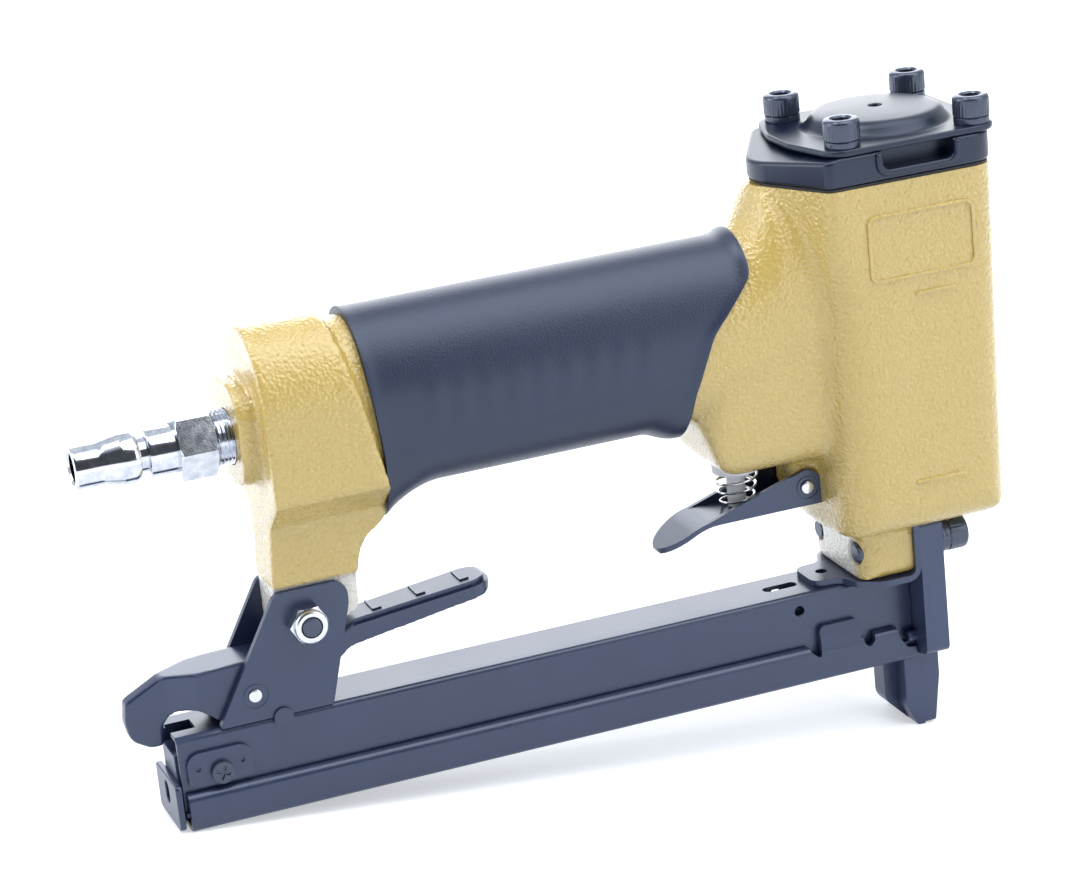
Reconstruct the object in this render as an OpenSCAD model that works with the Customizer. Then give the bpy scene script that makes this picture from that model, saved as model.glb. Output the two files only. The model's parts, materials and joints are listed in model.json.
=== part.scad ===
// Pneumatic upholstery stapler.
// Origin: centre of the nose tip, where the tool meets the work.
// +Z runs up the driver axis, +X points forwards, and the handle and magazine lie along -X.

/* [Staple and driver] */
// Crown width of the staples
staple_w = 12.8; // [12:0.1:14]
// Thickness of the driver blade
blade_t = 1.2; // [1:0.05:1.5]
// Blade's centre plane behind the cylinder axis
blade_back = 1; // [0.8:0.1:1.4]
// Bore of the cylinder
bore_d = 27; // [25:0.2:28]
// Height of the piston
piston_h = 10; // [9:0.5:13]
// Height of the bumper
bumper_h = 12.3; // [9:0.1:15]
// Height of the head valve
valve_h = 10.2; // [9.5:0.1:13]
// Lift of the head valve
valve_lift = 3.5; // [2.5:0.1:4]

/* [Nose] */
// Nose tip below the underside of the magazine slide
nose_drop = 18; // [14:0.5:24]
// Metal beside the staple groove of the nose
nose_side = 1.6; // [1.4:0.1:3]
// Length of the heel rib behind the nose guide
heel_len = 7.8; // [6:0.1:12]
// Front plate beyond its screws' axes
plate_side = 4.8; // [4.4:0.1:6]
// Thickness of the front plate
plate_t = 4.5; // [4:0.1:6]
// Thickness of the nose guide
guide_t = 1.5; // [1.2:0.1:2]
// Front screws' axes out from the staple's ends
front_screw_out = 3.8; // [3.4:0.1:5]
// Shank diameter of the front, cap and bracket screws
screw_d = 5; // [4:0.1:5.4]
// Head diameter of the socket screws
screw_head_d = 8.5; // [7.5:0.1:9]
// Head height of the socket screws
screw_head_h = 5; // [4:0.1:5.5]
// Thickness of the split lock washers
lock_t = 1.5; // [1:0.1:1.8]

/* [Magazine] */
// Slide underside to the roof of the channel
mag_h = 22; // [21:0.5:26]
// Clearance beside the staples in the channel
staple_gap = 0.1; // [0.08:0.01:0.2]
// Sheet thickness of the channel, pusher and staple rail
sheet_t = 1; // [0.8:0.05:1]
// Width of the channel's turned-out feet
foot_w = 1.2; // [1:0.05:2]
// Height of the slide's folded sides
slide_h = 6.2; // [5.9:0.1:7]
// Sheet thickness of the slide
slide_t = 1.2; // [1:0.05:1.3]
// Magazine beyond the rear bracket bolt
mag_tail = 33.1; // [31:0.1:36]
// Length of the pusher
pusher_len = 25; // [18:0.5:32]
// Diameter of the pusher's guide rod
rod_d = 3; // [2:0.1:3.2]

/* [Rear bracket and latch] */
// Driver axis to the rear bracket bolt
reach = 151.5; // [145:0.5:170]
// Rear bracket bolt above the channel roof
bolt_h = 21; // [20:0.5:24]
// Sheet thickness of both brackets
bracket_t = 1.6; // [1.4:0.05:1.8]
// Sheet thickness of the latch lever
lever_t = 1.4; // [1:0.05:1.6]
// Latch pin behind the rear bracket bolt
latch_back = 13.8; // [13:0.1:15]
// Latch pin above the channel roof
latch_h = 6.2; // [6:0.1:7]
// Diameter of the latch pin
latch_pin_d = 3.2; // [2.5:0.1:3.4]
// Length of the latch's finger arm ahead of the bracket bolt
arm_len = 45.2; // [36:0.2:52]

/* [Head] */
// Wall of the head beside the head valve
side_wall = 3.4; // [2.8:0.1:5]
// Wall of the head in front of the head valve
front_wall = 2.1; // [1.8:0.1:4]
// Straight sides of the head behind the head valve
back_wall = 4.6; // [4:0.1:7]
// Front face of the head leans back towards its underside
head_draft = 1.8; // [0:0.1:3]
// Blunt rear apex of the head behind its straight sides
apex_len = 9; // [7:0.5:13]
// Height of the neck under the head
neck_h = 12.4; // [11.5:0.1:15]
// Length of the neck behind the front bracket
neck_len = 13.4; // [12:0.2:15]
// Neck beyond the front screws' axes
neck_side = 3.8; // [3.4:0.1:4.6]
// Height of the cap
cap_h = 7; // [6.4:0.1:9]
// Thickness of the cap's cover plate
cover_t = 1.6; // [1.2:0.1:2]
// Height of the cover's dome
dome_h = 3.8; // [2.5:0.1:4.5]
// Front cap screws behind the head's front face
cap_screw_back = 3.7; // [3.4:0.1:4.2]
// Cap screws in from the head's sides
cap_screw_in = 4.9; // [4.4:0.1:5.2]

/* [Handle] */
// Height of the handle over its rubber
handle_h = 43; // [40:0.5:48]
// Width of the handle over its rubber
handle_w = 31.4; // [30:0.2:36]
// Thickness of the rubber grip
rubber_t = 2.6; // [2:0.1:3.2]
// Head's top above the handle's top
shoulder_h = 10.2; // [8:0.2:13]
// Belly over the trigger below the handle's underside
belly_drop = 12.8; // [11:0.2:14]
// Width of the belly
belly_w = 27; // [25:0.5:30]
// Bore of the handle's air chamber
chamber_d = 20; // [16:0.5:22]

/* [Trigger] */
// Trigger pin behind the head's straight sides
trigger_back = 4.9; // [4.6:0.1:6]
// Trigger pin below the belly
trigger_drop = 7; // [6.8:0.1:7.6]
// Width of the trigger
trigger_w = 13.6; // [13:0.1:15]
// Sheet thickness of the trigger
trigger_t = 1.2; // [1:0.05:1.4]
// Radius of the bend under the trigger's finger blade
bend_r = 14; // [10:0.5:20]
// Slope of the finger blade below the level, in degrees
droop = 28; // [20:4:32]
// Straight length of the finger blade
finger_len = 8.2; // [6:0.2:11]
// Diameter of the trigger pin
trigger_pin_d = 3.2; // [2.5:0.1:3.4]
// Valve stem behind the trigger pin
stem_back = 15.1; // [14:0.1:17]
// Diameter of the valve stem
stem_d = 4.4; // [3.6:0.1:4.6]
// Wire of the trigger spring
spring_wire = 0.8; // [0.6:0.05:0.9]
// Curls of the trigger spring
spring_curls = 4.5; // [3:0.5:5]

/* [Air inlet] */
// Tip diameter of the air plug
plug_d = 10; // [9:0.1:11]
// Wall of the air plug at its tip
plug_wall = 1.5; // [1.3:0.1:2]
// Hexagon of the air plug across its flats
plug_hex = 14; // [13.4:0.1:17]
// Thread diameter of the air plug
plug_thread = 13; // [11:0.1:13.2]
// Diameter of the inlet boss
boss_d = 22; // [19:0.5:26]

/* [Clearances] */
// Radial clearance of running fits
run_gap = 0.06; // [0.03:0.01:0.09]
// Radial clearance of screws and pressed pieces in their holes
seat_gap = 0.03; // [0.02:0.01:0.05]
// Clearance between sliding sheet pieces
slide_gap = 0.3; // [0.2:0.05:0.35]

/* [Hidden] */
$fn = 48;

// Colours
gold = [0.80, 0.69, 0.42];
black = [0.14, 0.15, 0.18];
rubber_black = [0.10, 0.10, 0.12];
bright = [0.86, 0.87, 0.90];
grey = [0.62, 0.64, 0.67];
amber = [0.75, 0.42, 0.15];

// Levels from the nose tip upwards
channel_top = nose_drop + mag_h;
neck_z = channel_top + bracket_t;
floor_z = neck_z + neck_h;
floor_t = 6;
seat_z = floor_z + floor_t;
bumper_top = seat_z + bumper_h;
tip_z = channel_top - 0.7;
stroke = tip_z - 0.3;
piston_z = bumper_top + 0.7 + stroke;
piston_top = piston_z + piston_h;
sleeve_top = piston_top + 2;
valve_z = sleeve_top + slide_gap;
valve_top = valve_z + valve_h;
head_top = valve_top + valve_lift + 1;
gasket_t = 0.6;
cap_z = head_top + gasket_t;
cover_z = cap_z + cap_h;
cover_top = cover_z + cover_t;
screw_z = cover_top + lock_t;

// Widths of the nose and its plates
front_screw_dy = staple_w + 2 * front_screw_out;
nose_w = staple_w + 2 * nose_side;
plate_w = front_screw_dy + 2 * plate_side;
neck_w = front_screw_dy + 2 * neck_side;

// Layers of the nose from front to back
parting_x = -blade_back - blade_t / 2 - run_gap;
groove_x = -blade_back + blade_t / 2 + run_gap;
plate_front = parting_x + plate_t;
guide_x = parting_x - guide_t;
neck_front = guide_x - bracket_t;
neck_rear = neck_front - neck_len;
blade_w = staple_w - 0.2;
washer_t = 1;
front_screw_z = (neck_z + floor_z) / 2 + 0.5;
front_screw_head = plate_front + washer_t + lock_t;
front_plate_top = floor_z - 0.4;

// Cylinder and head radii
bore_r = bore_d / 2;
sleeve_r = bore_r + 2;
sleeve_ring_z = [seat_z + 4, seat_z + 10];
jacket_r = sleeve_r + 1.5;
valve_bore_r = sleeve_r + 2.4;
valve_r = valve_bore_r - run_gap;
screw_r = screw_d / 2;
hole_r = screw_r + 0.2;
thread_r = screw_r + seat_gap;
head_w = 2 * (valve_bore_r + side_wall);
head_front = valve_bore_r + front_wall;
head_back = valve_bore_r + back_wall;
apex_back = head_back + apex_len;
cap_screw_dx = 2 * (head_front - cap_screw_back);
cap_screw_dy = head_w - 2 * cap_screw_in;
cap_spots = [for (sx = [-1, 1], sy = [-1, 1]) [sx * cap_screw_dx / 2, sy * cap_screw_dy / 2]];

// Handle levels
handle_top = head_top - shoulder_h;
handle_z = handle_top - handle_h;
handle_mid = handle_z + handle_h / 2;
core_w = handle_w - 2 * rubber_t;
belly_z = handle_z - belly_drop;
plug_z = handle_mid - 2.5;
block_rear = -reach - 5.5;
boss_rear = block_rear - 4.8;

// Ends of the rubber grip: an S in front, and a slope behind
grip_top_x = -apex_back - 9.5;
grip_low_x = grip_top_x - 16.5;
grip_rear_top = block_rear + 25.5;
grip_rear_low = block_rear + 30;

// Trigger and its valve
pin_x = -head_back - trigger_back;
pin_z = belly_z - trigger_drop;
stem_x = pin_x - stem_back;
web_z = pin_z - 4.6;
web_top = web_z + trigger_t;
lug_r = min(3, pin_z - web_top - slide_gap);
housing_r = 7;
collar_r = 5.4;
collar_z = belly_z - 1.4;
stem_z = web_top + slide_gap;
stem_chamber_r = stem_d / 2 + 1.4;

// Magazine sections
channel_in = staple_w / 2 + staple_gap;
channel_half = channel_in + sheet_t;
channel_w = 2 * channel_half;
roof_z = channel_top - sheet_t;
slide_z = nose_drop;
flange_y = channel_half + foot_w;
slide_in = flange_y + 0.1;
slide_half = slide_in + slide_t;
lip_z = slide_z + slide_h;
lip_y = channel_half + 0.5;
flange_top = lip_z - slide_t - 0.6;
rail_half = staple_w / 2 - 1.2;
rail_top = channel_top - 4.8;
rail_z = slide_z + slide_t;
rod_z = rail_top - 5;
rod_r = rod_d / 2;
slot_half = 1.3;
tail_x = -reach - mag_tail;
mag_front = guide_x - 0.15;
rail_front = guide_x - 0.25;
rail_rear = tail_x - 0.5;
pusher_front = rail_front - 2;
pusher_y = rail_half + 0.2;
pusher_z = rail_top + 0.2;
tongue_x = pusher_front - pusher_len + 2.5;
end_plate_t = 1.5;
tab_x = guide_x - 19.7;
slide_step_x = guide_x - 2.8;
locating_r = 1.3;
locating_y = (channel_half + slide_half + 0.9) / 2;
locating_z = flange_top + locating_r + 0.15;
side_plate_t = 1;
side_screw_r = 1.4;
side_screw_x = tail_x + 9.3;
side_screw_z = channel_top - 9.4;

// Rear bracket and latch
bolt_x = -reach;
bolt_z = channel_top + bolt_h;
bracket_half = channel_half + 0.1;
cheek_y = bracket_half - bracket_t;
tongue_half = cheek_y - 0.1;
leg_half = bracket_half - 0.4;
leg_z = bolt_z + 8.5;
latch_x = bolt_x - latch_back;
latch_z = channel_top + latch_h;
lever_half = cheek_y - slide_gap;
lever_web = bolt_z - 7.4;
tongue_z = lever_web + 0.8;
hook_z = rail_top + 1.6;
hook_x = rail_rear - 0.3;

// Unit vector along v
function unit(v) = v / norm(v);

// Points of a round of radius r at corner p, between neighbours a and b
function corner(p, a, b, r, n) =
  r <= 0 ? [p] :
  let (
    u = unit(a - p),
    v = unit(b - p),
    half = acos(u * v) / 2,
    c = p + unit(u + v) * r / sin(half),
    s = p + u * r / tan(half) - c,
    e = p + v * r / tan(half) - c,
    a0 = atan2(s.y, s.x),
    d = atan2(e.y, e.x) - a0,
    sweep = d > 180 ? d - 360 : d < -180 ? d + 360 : d
  )
  [for (i = [0:n]) c + r * [cos(a0 + sweep * i / n), sin(a0 + sweep * i / n)]];

// Outline whose corners [x, y, radius] are rounded
function rounded(pts, n = 5) =
  let (m = len(pts))
  [for (i = [0:m - 1])
    let (p = pts[i], a = pts[(i + m - 1) % m], b = pts[(i + 1) % m])
    each corner([p.x, p.y], [a.x, a.y], [b.x, b.y], is_undef(p[2]) ? 0 : p[2], n)];

// Outline and its mirror image across the X axis, joined
function mirrored(pts) = concat(pts, [for (i = [len(pts) - 1:-1:0]) [pts[i].x, -pts[i].y, pts[i][2]]]);

// Handle section: flat sides, an arched top and a rounder bottom
function handle_section(w, z0, z1, n = 10) =
  let (top_h = (z1 - z0) * 0.46, low_h = (z1 - z0) * 0.36)
  concat(
    [for (i = [0:n]) [w / 2 * cos(180 * i / n), z1 - top_h + top_h * sin(180 * i / n)]],
    [for (i = [0:n]) [-w / 2 * cos(180 * i / n), z0 + low_h - low_h * sin(180 * i / n)]]
  );

// Outline in X and Z, drawn across a width
module side(pts, w, y = 0) {
  translate([0, y, 0]) rotate([90, 0, 0]) linear_extrude(w, center = true) polygon(pts);
}

// Outline in Y and Z, drawn from x0 to x1
module along_x(pts, x0, x1) {
  translate([x0, 0, 0]) rotate([90, 0, 90]) linear_extrude(x1 - x0) polygon(pts);
}

// Outline in X and Y, drawn from z0 to z1
module plan(pts, z0, z1) {
  translate([0, 0, z0]) linear_extrude(z1 - z0) polygon(pts);
}

// Round bars along each axis
module bar_x(r, x0, x1, y = 0, z = 0) {
  translate([x0, y, z]) rotate([0, 90, 0]) cylinder(r = r, h = x1 - x0);
}

module bar_y(r, y0, y1, x = 0, z = 0) {
  translate([x, y0, z]) rotate([-90, 0, 0]) cylinder(r = r, h = y1 - y0);
}

module bar_z(r, z0, z1, x = 0, y = 0) {
  translate([x, y, z0]) cylinder(r = r, h = z1 - z0);
}

// Box between two corners
module box(low, high) {
  translate(low) cube(high - low);
}

// A shape and its mirror image on the other side
module both() {
  children();
  mirror([0, 1, 0]) children();
}

// Ring along Z with a round section
module o_ring(r, section, z) {
  translate([0, 0, z]) rotate_extrude() translate([r, 0]) circle(r = section, $fn = 24);
}

// Flat ring along Z
module ring_z(r_out, r_in, z0, z1, x = 0, y = 0) {
  difference() {
    bar_z(r_out, z0, z1, x, y);
    bar_z(r_in, z0 - 1, z1 + 1, x, y);
  }
}

// Split lock washer standing on z0
module lock_washer(z0, z1) {
  difference() {
    ring_z(screw_head_d / 2 - 0.1, hole_r, z0, z1);
    rotate(25) box([0, -0.4, z0 - 1], [screw_head_d, 0.4, z1 + 1]);
  }
}

// Socket screw whose head stands on z0, with its shank below
module socket_screw(z0, shank) {
  difference() {
    union() {
      bar_z(screw_head_d / 2, z0, z0 + screw_head_h - 0.7);
      translate([0, 0, z0 + screw_head_h - 0.7])
        cylinder(r1 = screw_head_d / 2, r2 = screw_head_d / 2 - 0.7, h = 0.7);
      bar_z(screw_r, z0 - shank, z0 + 0.5);
    }
    translate([0, 0, z0 + screw_head_h - 2.6]) cylinder(r = screw_d * 0.46, h = 4, $fn = 6);
  }
}

// Wire coil about Z from radius r0 at z0 to r1 at z1, its points along the middle of the wire
function coil_path(r0, r1, z0, z1, curls) =
  let (n = round(curls * 8))
  [for (i = [0:n])
    let (t = i / n, a = 360 * curls * t, r = r0 + (r1 - r0) * t)
    [r * cos(a), r * sin(a), z0 + (z1 - z0) * t]];

// Least distance between wire surfaces at least half a curl apart
function coil_gap(path, wire) =
  min([for (i = [0:len(path) - 1], j = [i + 4:1:len(path) - 1]) norm(path[i] - path[j])]) - wire;

// Six-sided tube of triangles along a coil's points
module coil(path, wire) {
  n = len(path);
  pts = [for (i = [0:n - 1])
    let (
      p = path[i],
      t = unit(path[min(i + 1, n - 1)] - path[max(i - 1, 0)]),
      u = unit([p.x, p.y, 0] - t * ([p.x, p.y, 0] * t)),
      v = cross(t, u)
    )
    for (k = [0:5]) p + wire / 2 * (u * cos(60 * k) + v * sin(60 * k))];
  tube = [for (i = [0:n - 2], k = [0:5])
    let (a = i * 6 + k, b = i * 6 + (k + 1) % 6)
    each [[a, a + 6, b], [b, a + 6, b + 6]]];
  caps = [for (k = [1:4]) each [[0, k, k + 1], [(n - 1) * 6, (n - 1) * 6 + k + 1, (n - 1) * 6 + k]]];
  polyhedron(pts, concat(tube, caps));
}

// Plan of the head and its cap: flat sides and a blunt pointed back
function head_plan(w, front, back, apex) = rounded(mirrored([
  [front, w / 2, 6],
  [-back, w / 2, 2.5],
  [-apex, 4.5, 3]
]));

// Gold casting: head, neck, handle core, rear block and leg in one piece
module gun_body() {
  housing_plan = rounded(mirrored([[head_front, head_w / 2, 6], [-head_back + 0.5, head_w / 2, 11]]), 8);
  housing_side = rounded([
    [head_front, head_top],
    [head_front - head_draft, floor_z, 9],
    [-head_back, floor_z],
    [-head_back, head_top]
  ], 8);
  housing_section = rounded([
    [-head_w / 2, floor_z, 6],
    [head_w / 2, floor_z, 6],
    [head_w / 2, head_top],
    [-head_w / 2, head_top]
  ]);
  house_side = [
    [head_front, head_top],
    [-apex_back - 2, head_top],
    [-apex_back - 2, handle_top],
    [-head_back, handle_mid],
    [head_front, handle_mid]
  ];
  belly_side = rounded([
    [grip_low_x + 0.5, handle_z + 4],
    [grip_low_x + 6, belly_z, 6],
    [pin_x + 1, belly_z],
    [-head_back + 2, belly_z],
    [-head_back + 2, handle_z + 12],
    [grip_low_x + 6, handle_z + 12]
  ]);
  belly_section = rounded([
    [-belly_w / 2, belly_z, 4],
    [belly_w / 2, belly_z, 4],
    [handle_w / 2 - 1, handle_z + 13],
    [-handle_w / 2 + 1, handle_z + 13]
  ]);
  neck_plan = rounded(mirrored([
    [neck_front, neck_w / 2], [neck_rear + 1.5, neck_w / 2, 3], [neck_rear, neck_w / 2 - 5, 1]
  ]));
  color(gold) difference() {
    union() {
      intersection() {
        plan(housing_plan, floor_z, head_top - 0.01);
        side(housing_side, head_w + 2);
        along_x(housing_section, -head_back - 1, head_front + 1);
      }
      intersection() {
        plan(head_plan(head_w, head_front, head_back, apex_back), handle_mid, head_top);
        side(house_side, head_w + 2);
      }
      intersection() {
        along_x(handle_section(handle_w - 1, handle_z + 0.5, handle_top - 0.2),
                grip_low_x - 6, -head_back + 6);
        side(grip_front_side(0, 30), handle_w + 2);
      }
      along_x(handle_section(core_w, handle_z + rubber_t, handle_top - rubber_t),
              block_rear + 4, -head_back + 5);
      intersection() {
        along_x(belly_section, grip_low_x - 4, -head_back + 2);
        side(belly_side, handle_w + 2);
      }
      plan(neck_plan, neck_z, floor_z + 1);
      rear_block();
      bar_x(boss_d / 2, boss_rear, block_rear + 1, 0, plug_z);
      trigger_lug();
    }
    body_bores();
  }
}

// Outline of everything ahead of the grip's front edge, or behind it when reach is negative
function grip_front_side(gap, reach_x) = rounded([
  [grip_top_x + gap, handle_top + 3],
  [grip_top_x + gap, handle_top - 9, 6],
  [grip_low_x + 4.5 + gap, handle_mid - 4, 20],
  [grip_low_x + gap, handle_z + 6, 4],
  [grip_low_x - 4 + gap, handle_z - 3],
  [reach_x, handle_z - 3],
  [reach_x, handle_top + 3]
]);

// Rear block with its chamfer, leg and the tongue between the bracket's cheeks
module rear_block() {
  block_side = rounded([
    [block_rear, handle_top + 1],
    [grip_rear_top - 7, handle_top + 1],
    [grip_rear_low - 4, handle_z + 5, 2],
    [grip_rear_low - 4.6, handle_z - 0.5],
    [bolt_x + 14, leg_z + 7, 10],
    [bolt_x + 12.6, leg_z],
    [bolt_x + 6.5, leg_z],
    [bolt_x + 6.5, tongue_z, 5],
    [block_rear - 1, tongue_z, 5],
    [block_rear - 1, leg_z],
    [block_rear, handle_z - 0.5]
  ]);
  arch = handle_section(handle_w, handle_z, handle_top + 0.4);
  upper = [for (p = arch) if (p.y > handle_mid - 2) p];
  section = concat(upper, [
    [-handle_w / 2, handle_z + 6.5],
    [-leg_half - 0.8, handle_z - 0.5],
    [-leg_half, leg_z],
    [-tongue_half, leg_z],
    [-tongue_half, tongue_z - 1],
    [tongue_half, tongue_z - 1],
    [tongue_half, leg_z],
    [leg_half, leg_z],
    [leg_half + 0.8, handle_z - 0.5],
    [handle_w / 2, handle_z + 6.5]
  ]);
  intersection() {
    along_x(section, block_rear - 1, grip_rear_low);
    side(block_side, handle_w + 4);
  }
}

// Lug that carries the trigger pin between the trigger's cheeks
module trigger_lug() {
  half = trigger_w / 2 - trigger_t - slide_gap;
  bar_y(lug_r, -half, half, pin_x, pin_z);
  box([pin_x - lug_r, -half, pin_z], [pin_x + lug_r, half, belly_z + 2]);
}

// Every bore and hole in the casting
module body_bores() {
  bar_z(valve_bore_r, piston_top - 3, head_top + 1);
  bar_z(jacket_r, seat_z + 14, piston_top - 2.9);
  bar_z(sleeve_r + seat_gap, seat_z, seat_z + 14.1);
  box([-blade_back - blade_t / 2 - 0.15, -blade_w / 2 - 0.15, floor_z - 1],
      [-blade_back + blade_t / 2 + 0.15, blade_w / 2 + 0.15, seat_z + 1]);
  bar_x(chamber_d / 2, block_rear + 8, -sleeve_r, 0, handle_mid);
  bar_x(plug_thread / 2 + seat_gap, boss_rear - 1, block_rear + 9, 0, plug_z);
  bar_z(housing_r + seat_gap, belly_z - 1, handle_mid, stem_x);
  for (s = cap_spots) bar_z(thread_r, head_top - 15, head_top + 1, s.x, s.y);
  both() bar_x(thread_r, neck_rear - 1, neck_front + 1, front_screw_dy / 2, front_screw_z);
  bar_y(trigger_pin_d / 2 + seat_gap, -trigger_w, trigger_w, pin_x, pin_z);
  bar_y(hole_r, -handle_w, handle_w, bolt_x, bolt_z);
}

// Rubber sleeve over the handle's core
module handle_grip() {
  grip_side = concat(
    [for (p = grip_front_side(-0.15, block_rear - 40)) if (p.x > block_rear) p],
    [[grip_rear_low, handle_z - 3], [grip_rear_top - 1.5, handle_mid + 2], [grip_rear_top, handle_top + 3]]
  );
  color(rubber_black) difference() {
    intersection() {
      along_x(handle_section(handle_w, handle_z, handle_top), grip_rear_top - 4, grip_top_x + 2);
      side(grip_side, handle_w + 2);
    }
    along_x(handle_section(core_w + 0.1, handle_z + rubber_t - 0.05, handle_top - rubber_t + 0.05),
            block_rear, 0);
  }
}

// Black cap over the cylinder, with its exhaust notch
module cylinder_cap() {
  notch = rounded([[-9, cover_z + 1], [-9, cap_z + 2.6, 2], [9, cap_z + 2.6, 2], [9, cover_z + 1]]);
  color(black) difference() {
    plan(head_plan(head_w, head_front, head_back, apex_back), cap_z, cover_z);
    bar_z(sleeve_r, cap_z - 1, cap_z + 4.2);
    side(notch, head_w / 2 - bore_r + 3, -(head_w / 2 + bore_r - 3) / 2 - 3);
    for (s = cap_spots) bar_z(hole_r, cap_z - 1, cover_z + 1, s.x, s.y);
  }
}

// Thin gasket under the cap
module cap_gasket() {
  color(rubber_black) difference() {
    plan(head_plan(head_w - 0.6, head_front - 0.3, head_back - 0.3, apex_back - 0.5), head_top, cap_z);
    bar_z(valve_bore_r, head_top - 1, cap_z + 1);
    for (s = cap_spots) bar_z(hole_r, head_top - 1, cap_z + 1, s.x, s.y);
  }
}

// Cover plate with a pressed dome that spreads the exhaust
module exhaust_cover() {
  half_x = cap_screw_dx / 2 + screw_head_d / 2 + 0.5;
  half_y = cap_screw_dy / 2 + screw_head_d / 2 + 0.5;
  dome_r = 15.2;
  color(black) difference() {
    union() {
      difference() {
        plan(rounded(mirrored([
          [half_x, half_y, 5], [-half_x, half_y, 5], [-half_x - 4, 6, 12]
        ])), cover_z, cover_top);
        bar_z(dome_r - 1, cover_z - 1, cover_top + 1);
      }
      translate([0, 0, cover_top]) rotate_extrude() polygon([
        [1.5, dome_h - cover_t], [1.5, dome_h], [8, dome_h - 0.2], [dome_r - 3.4, dome_h - 1],
        [dome_r, 0], [dome_r, -cover_t / 2], [dome_r - 2, -cover_t / 2],
        [dome_r - 4.6, dome_h - cover_t - 1], [8, dome_h - cover_t - 0.2]
      ]);
    }
    for (s = cap_spots) bar_z(hole_r, cover_z - 1, cover_top + 1, s.x, s.y);
  }
}

// Socket screws that hold the cap
module cap_screws() {
  color(black) for (s = cap_spots) translate([s.x, s.y, 0]) socket_screw(screw_z, screw_z - head_top + 13);
}

// Split washers under the cap screws
module cap_lock_washers() {
  color(black) for (s = cap_spots) translate([s.x, s.y, 0]) lock_washer(cover_top, screw_z);
}

// Cylinder liner with two seal grooves at its foot
module cylinder_sleeve() {
  color(grey) difference() {
    bar_z(sleeve_r, seat_z, sleeve_top);
    bar_z(bore_r, seat_z - 1, sleeve_top + 1);
    for (z = sleeve_ring_z) ring_z(sleeve_r + 1, sleeve_r - 1.2, z - 0.75, z + 0.75);
  }
}

// Seals between the liner's foot and the casting
module sleeve_o_rings() {
  color(rubber_black) for (z = sleeve_ring_z) o_ring(sleeve_r - 0.58, 0.58, z);
}

// Rubber buffer at the foot of the cylinder
module bumper() {
  color(amber) ring_z(bore_r - 0.1, blade_w / 2 + 1, seat_z, bumper_top);
}

// Head valve that opens and shuts the cylinder's top
module head_valve() {
  color(grey) difference() {
    bar_z(valve_r, valve_z, valve_top);
    bar_z(10, valve_z + 5, valve_top + 1);
    ring_z(valve_r + 1, valve_r - 1.3, valve_z + 2, valve_z + 3.8);
  }
}

// Seal in the head valve's groove
module head_valve_o_ring() {
  color(rubber_black) o_ring(valve_r - 0.64, 0.64, valve_z + 2.9);
}

// Coil that shuts the head valve
module head_valve_spring() {
  path = coil_path(8, 8, valve_z + 5.75, cap_z + 3.5, 4);
  echo(str("least gap of head_valve_spring to itself: ", coil_gap(path, 1.3), " mm"));
  color(bright) coil(path, 1.3);
}

// Piston with its boss, seal groove and blade slot
module piston() {
  color(grey) difference() {
    union() {
      bar_z(bore_r - run_gap, piston_z, piston_top);
      bar_z(blade_w / 2 + 0.7, piston_z - 6, piston_z + 1);
    }
    ring_z(bore_r + 1, bore_r - 1.6, piston_z + 4, piston_z + 6);
    box([-blade_back - blade_t / 2 - 0.02, -blade_w / 2 - 0.02, piston_z - 7],
        [-blade_back + blade_t / 2 + 0.02, blade_w / 2 + 0.02, piston_z + 7]);
    bar_x(1.5 + seat_gap, -bore_r, bore_r, 0, piston_z - 3);
  }
}

// Seal in the piston's groove
module piston_o_ring() {
  color(rubber_black) o_ring(bore_r - run_gap - 0.74, 0.74, piston_z + 5);
}

// Flat steel blade that drives the staple
module driver_blade() {
  color(bright) difference() {
    box([-blade_back - blade_t / 2, -blade_w / 2, tip_z],
        [-blade_back + blade_t / 2, blade_w / 2, piston_z + 6.9]);
    bar_x(1.5 + seat_gap, -bore_r, bore_r, 0, piston_z - 3);
  }
}

// Cross pin that holds the blade in the piston
module driver_pin() {
  color(bright) bar_x(1.5, -blade_w / 2, blade_w / 2, 0, piston_z - 3);
}

// Black housing of the trigger valve, pressed into the belly
module valve_housing() {
  color(black) difference() {
    union() {
      bar_z(housing_r, belly_z, handle_mid - chamber_d / 2 - 1, stem_x);
      bar_z(collar_r, collar_z, belly_z + 1, stem_x);
    }
    bar_z(stem_d / 2 + run_gap, collar_z - 1, handle_z, stem_x);
    bar_z(stem_chamber_r, belly_z + 4, handle_z + 2, stem_x);
    bar_z(1.6, handle_z, handle_mid, stem_x);
  }
}

// Stem that the trigger lifts
module valve_stem() {
  color(black) difference() {
    union() {
      bar_z(stem_d / 2, stem_z, belly_z + 8, stem_x);
      bar_z(stem_chamber_r - 0.4, belly_z + 4.3, belly_z + 9, stem_x);
    }
    translate([stem_x, 0, 0]) ring_z(stem_chamber_r, stem_chamber_r - 1.4, belly_z + 6, belly_z + 7.6);
  }
}

// Seal on the valve stem
module stem_o_ring() {
  color(rubber_black) translate([stem_x, 0, 0]) o_ring(stem_chamber_r - 0.72, 0.62, belly_z + 6.8);
}

// Point on the trigger's downward bend, a degrees round it from the knee and out from its underside
function bend(knee, out, a) = [knee, web_z - bend_r] + (bend_r + out) * [-sin(a), cos(a)];

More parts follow.
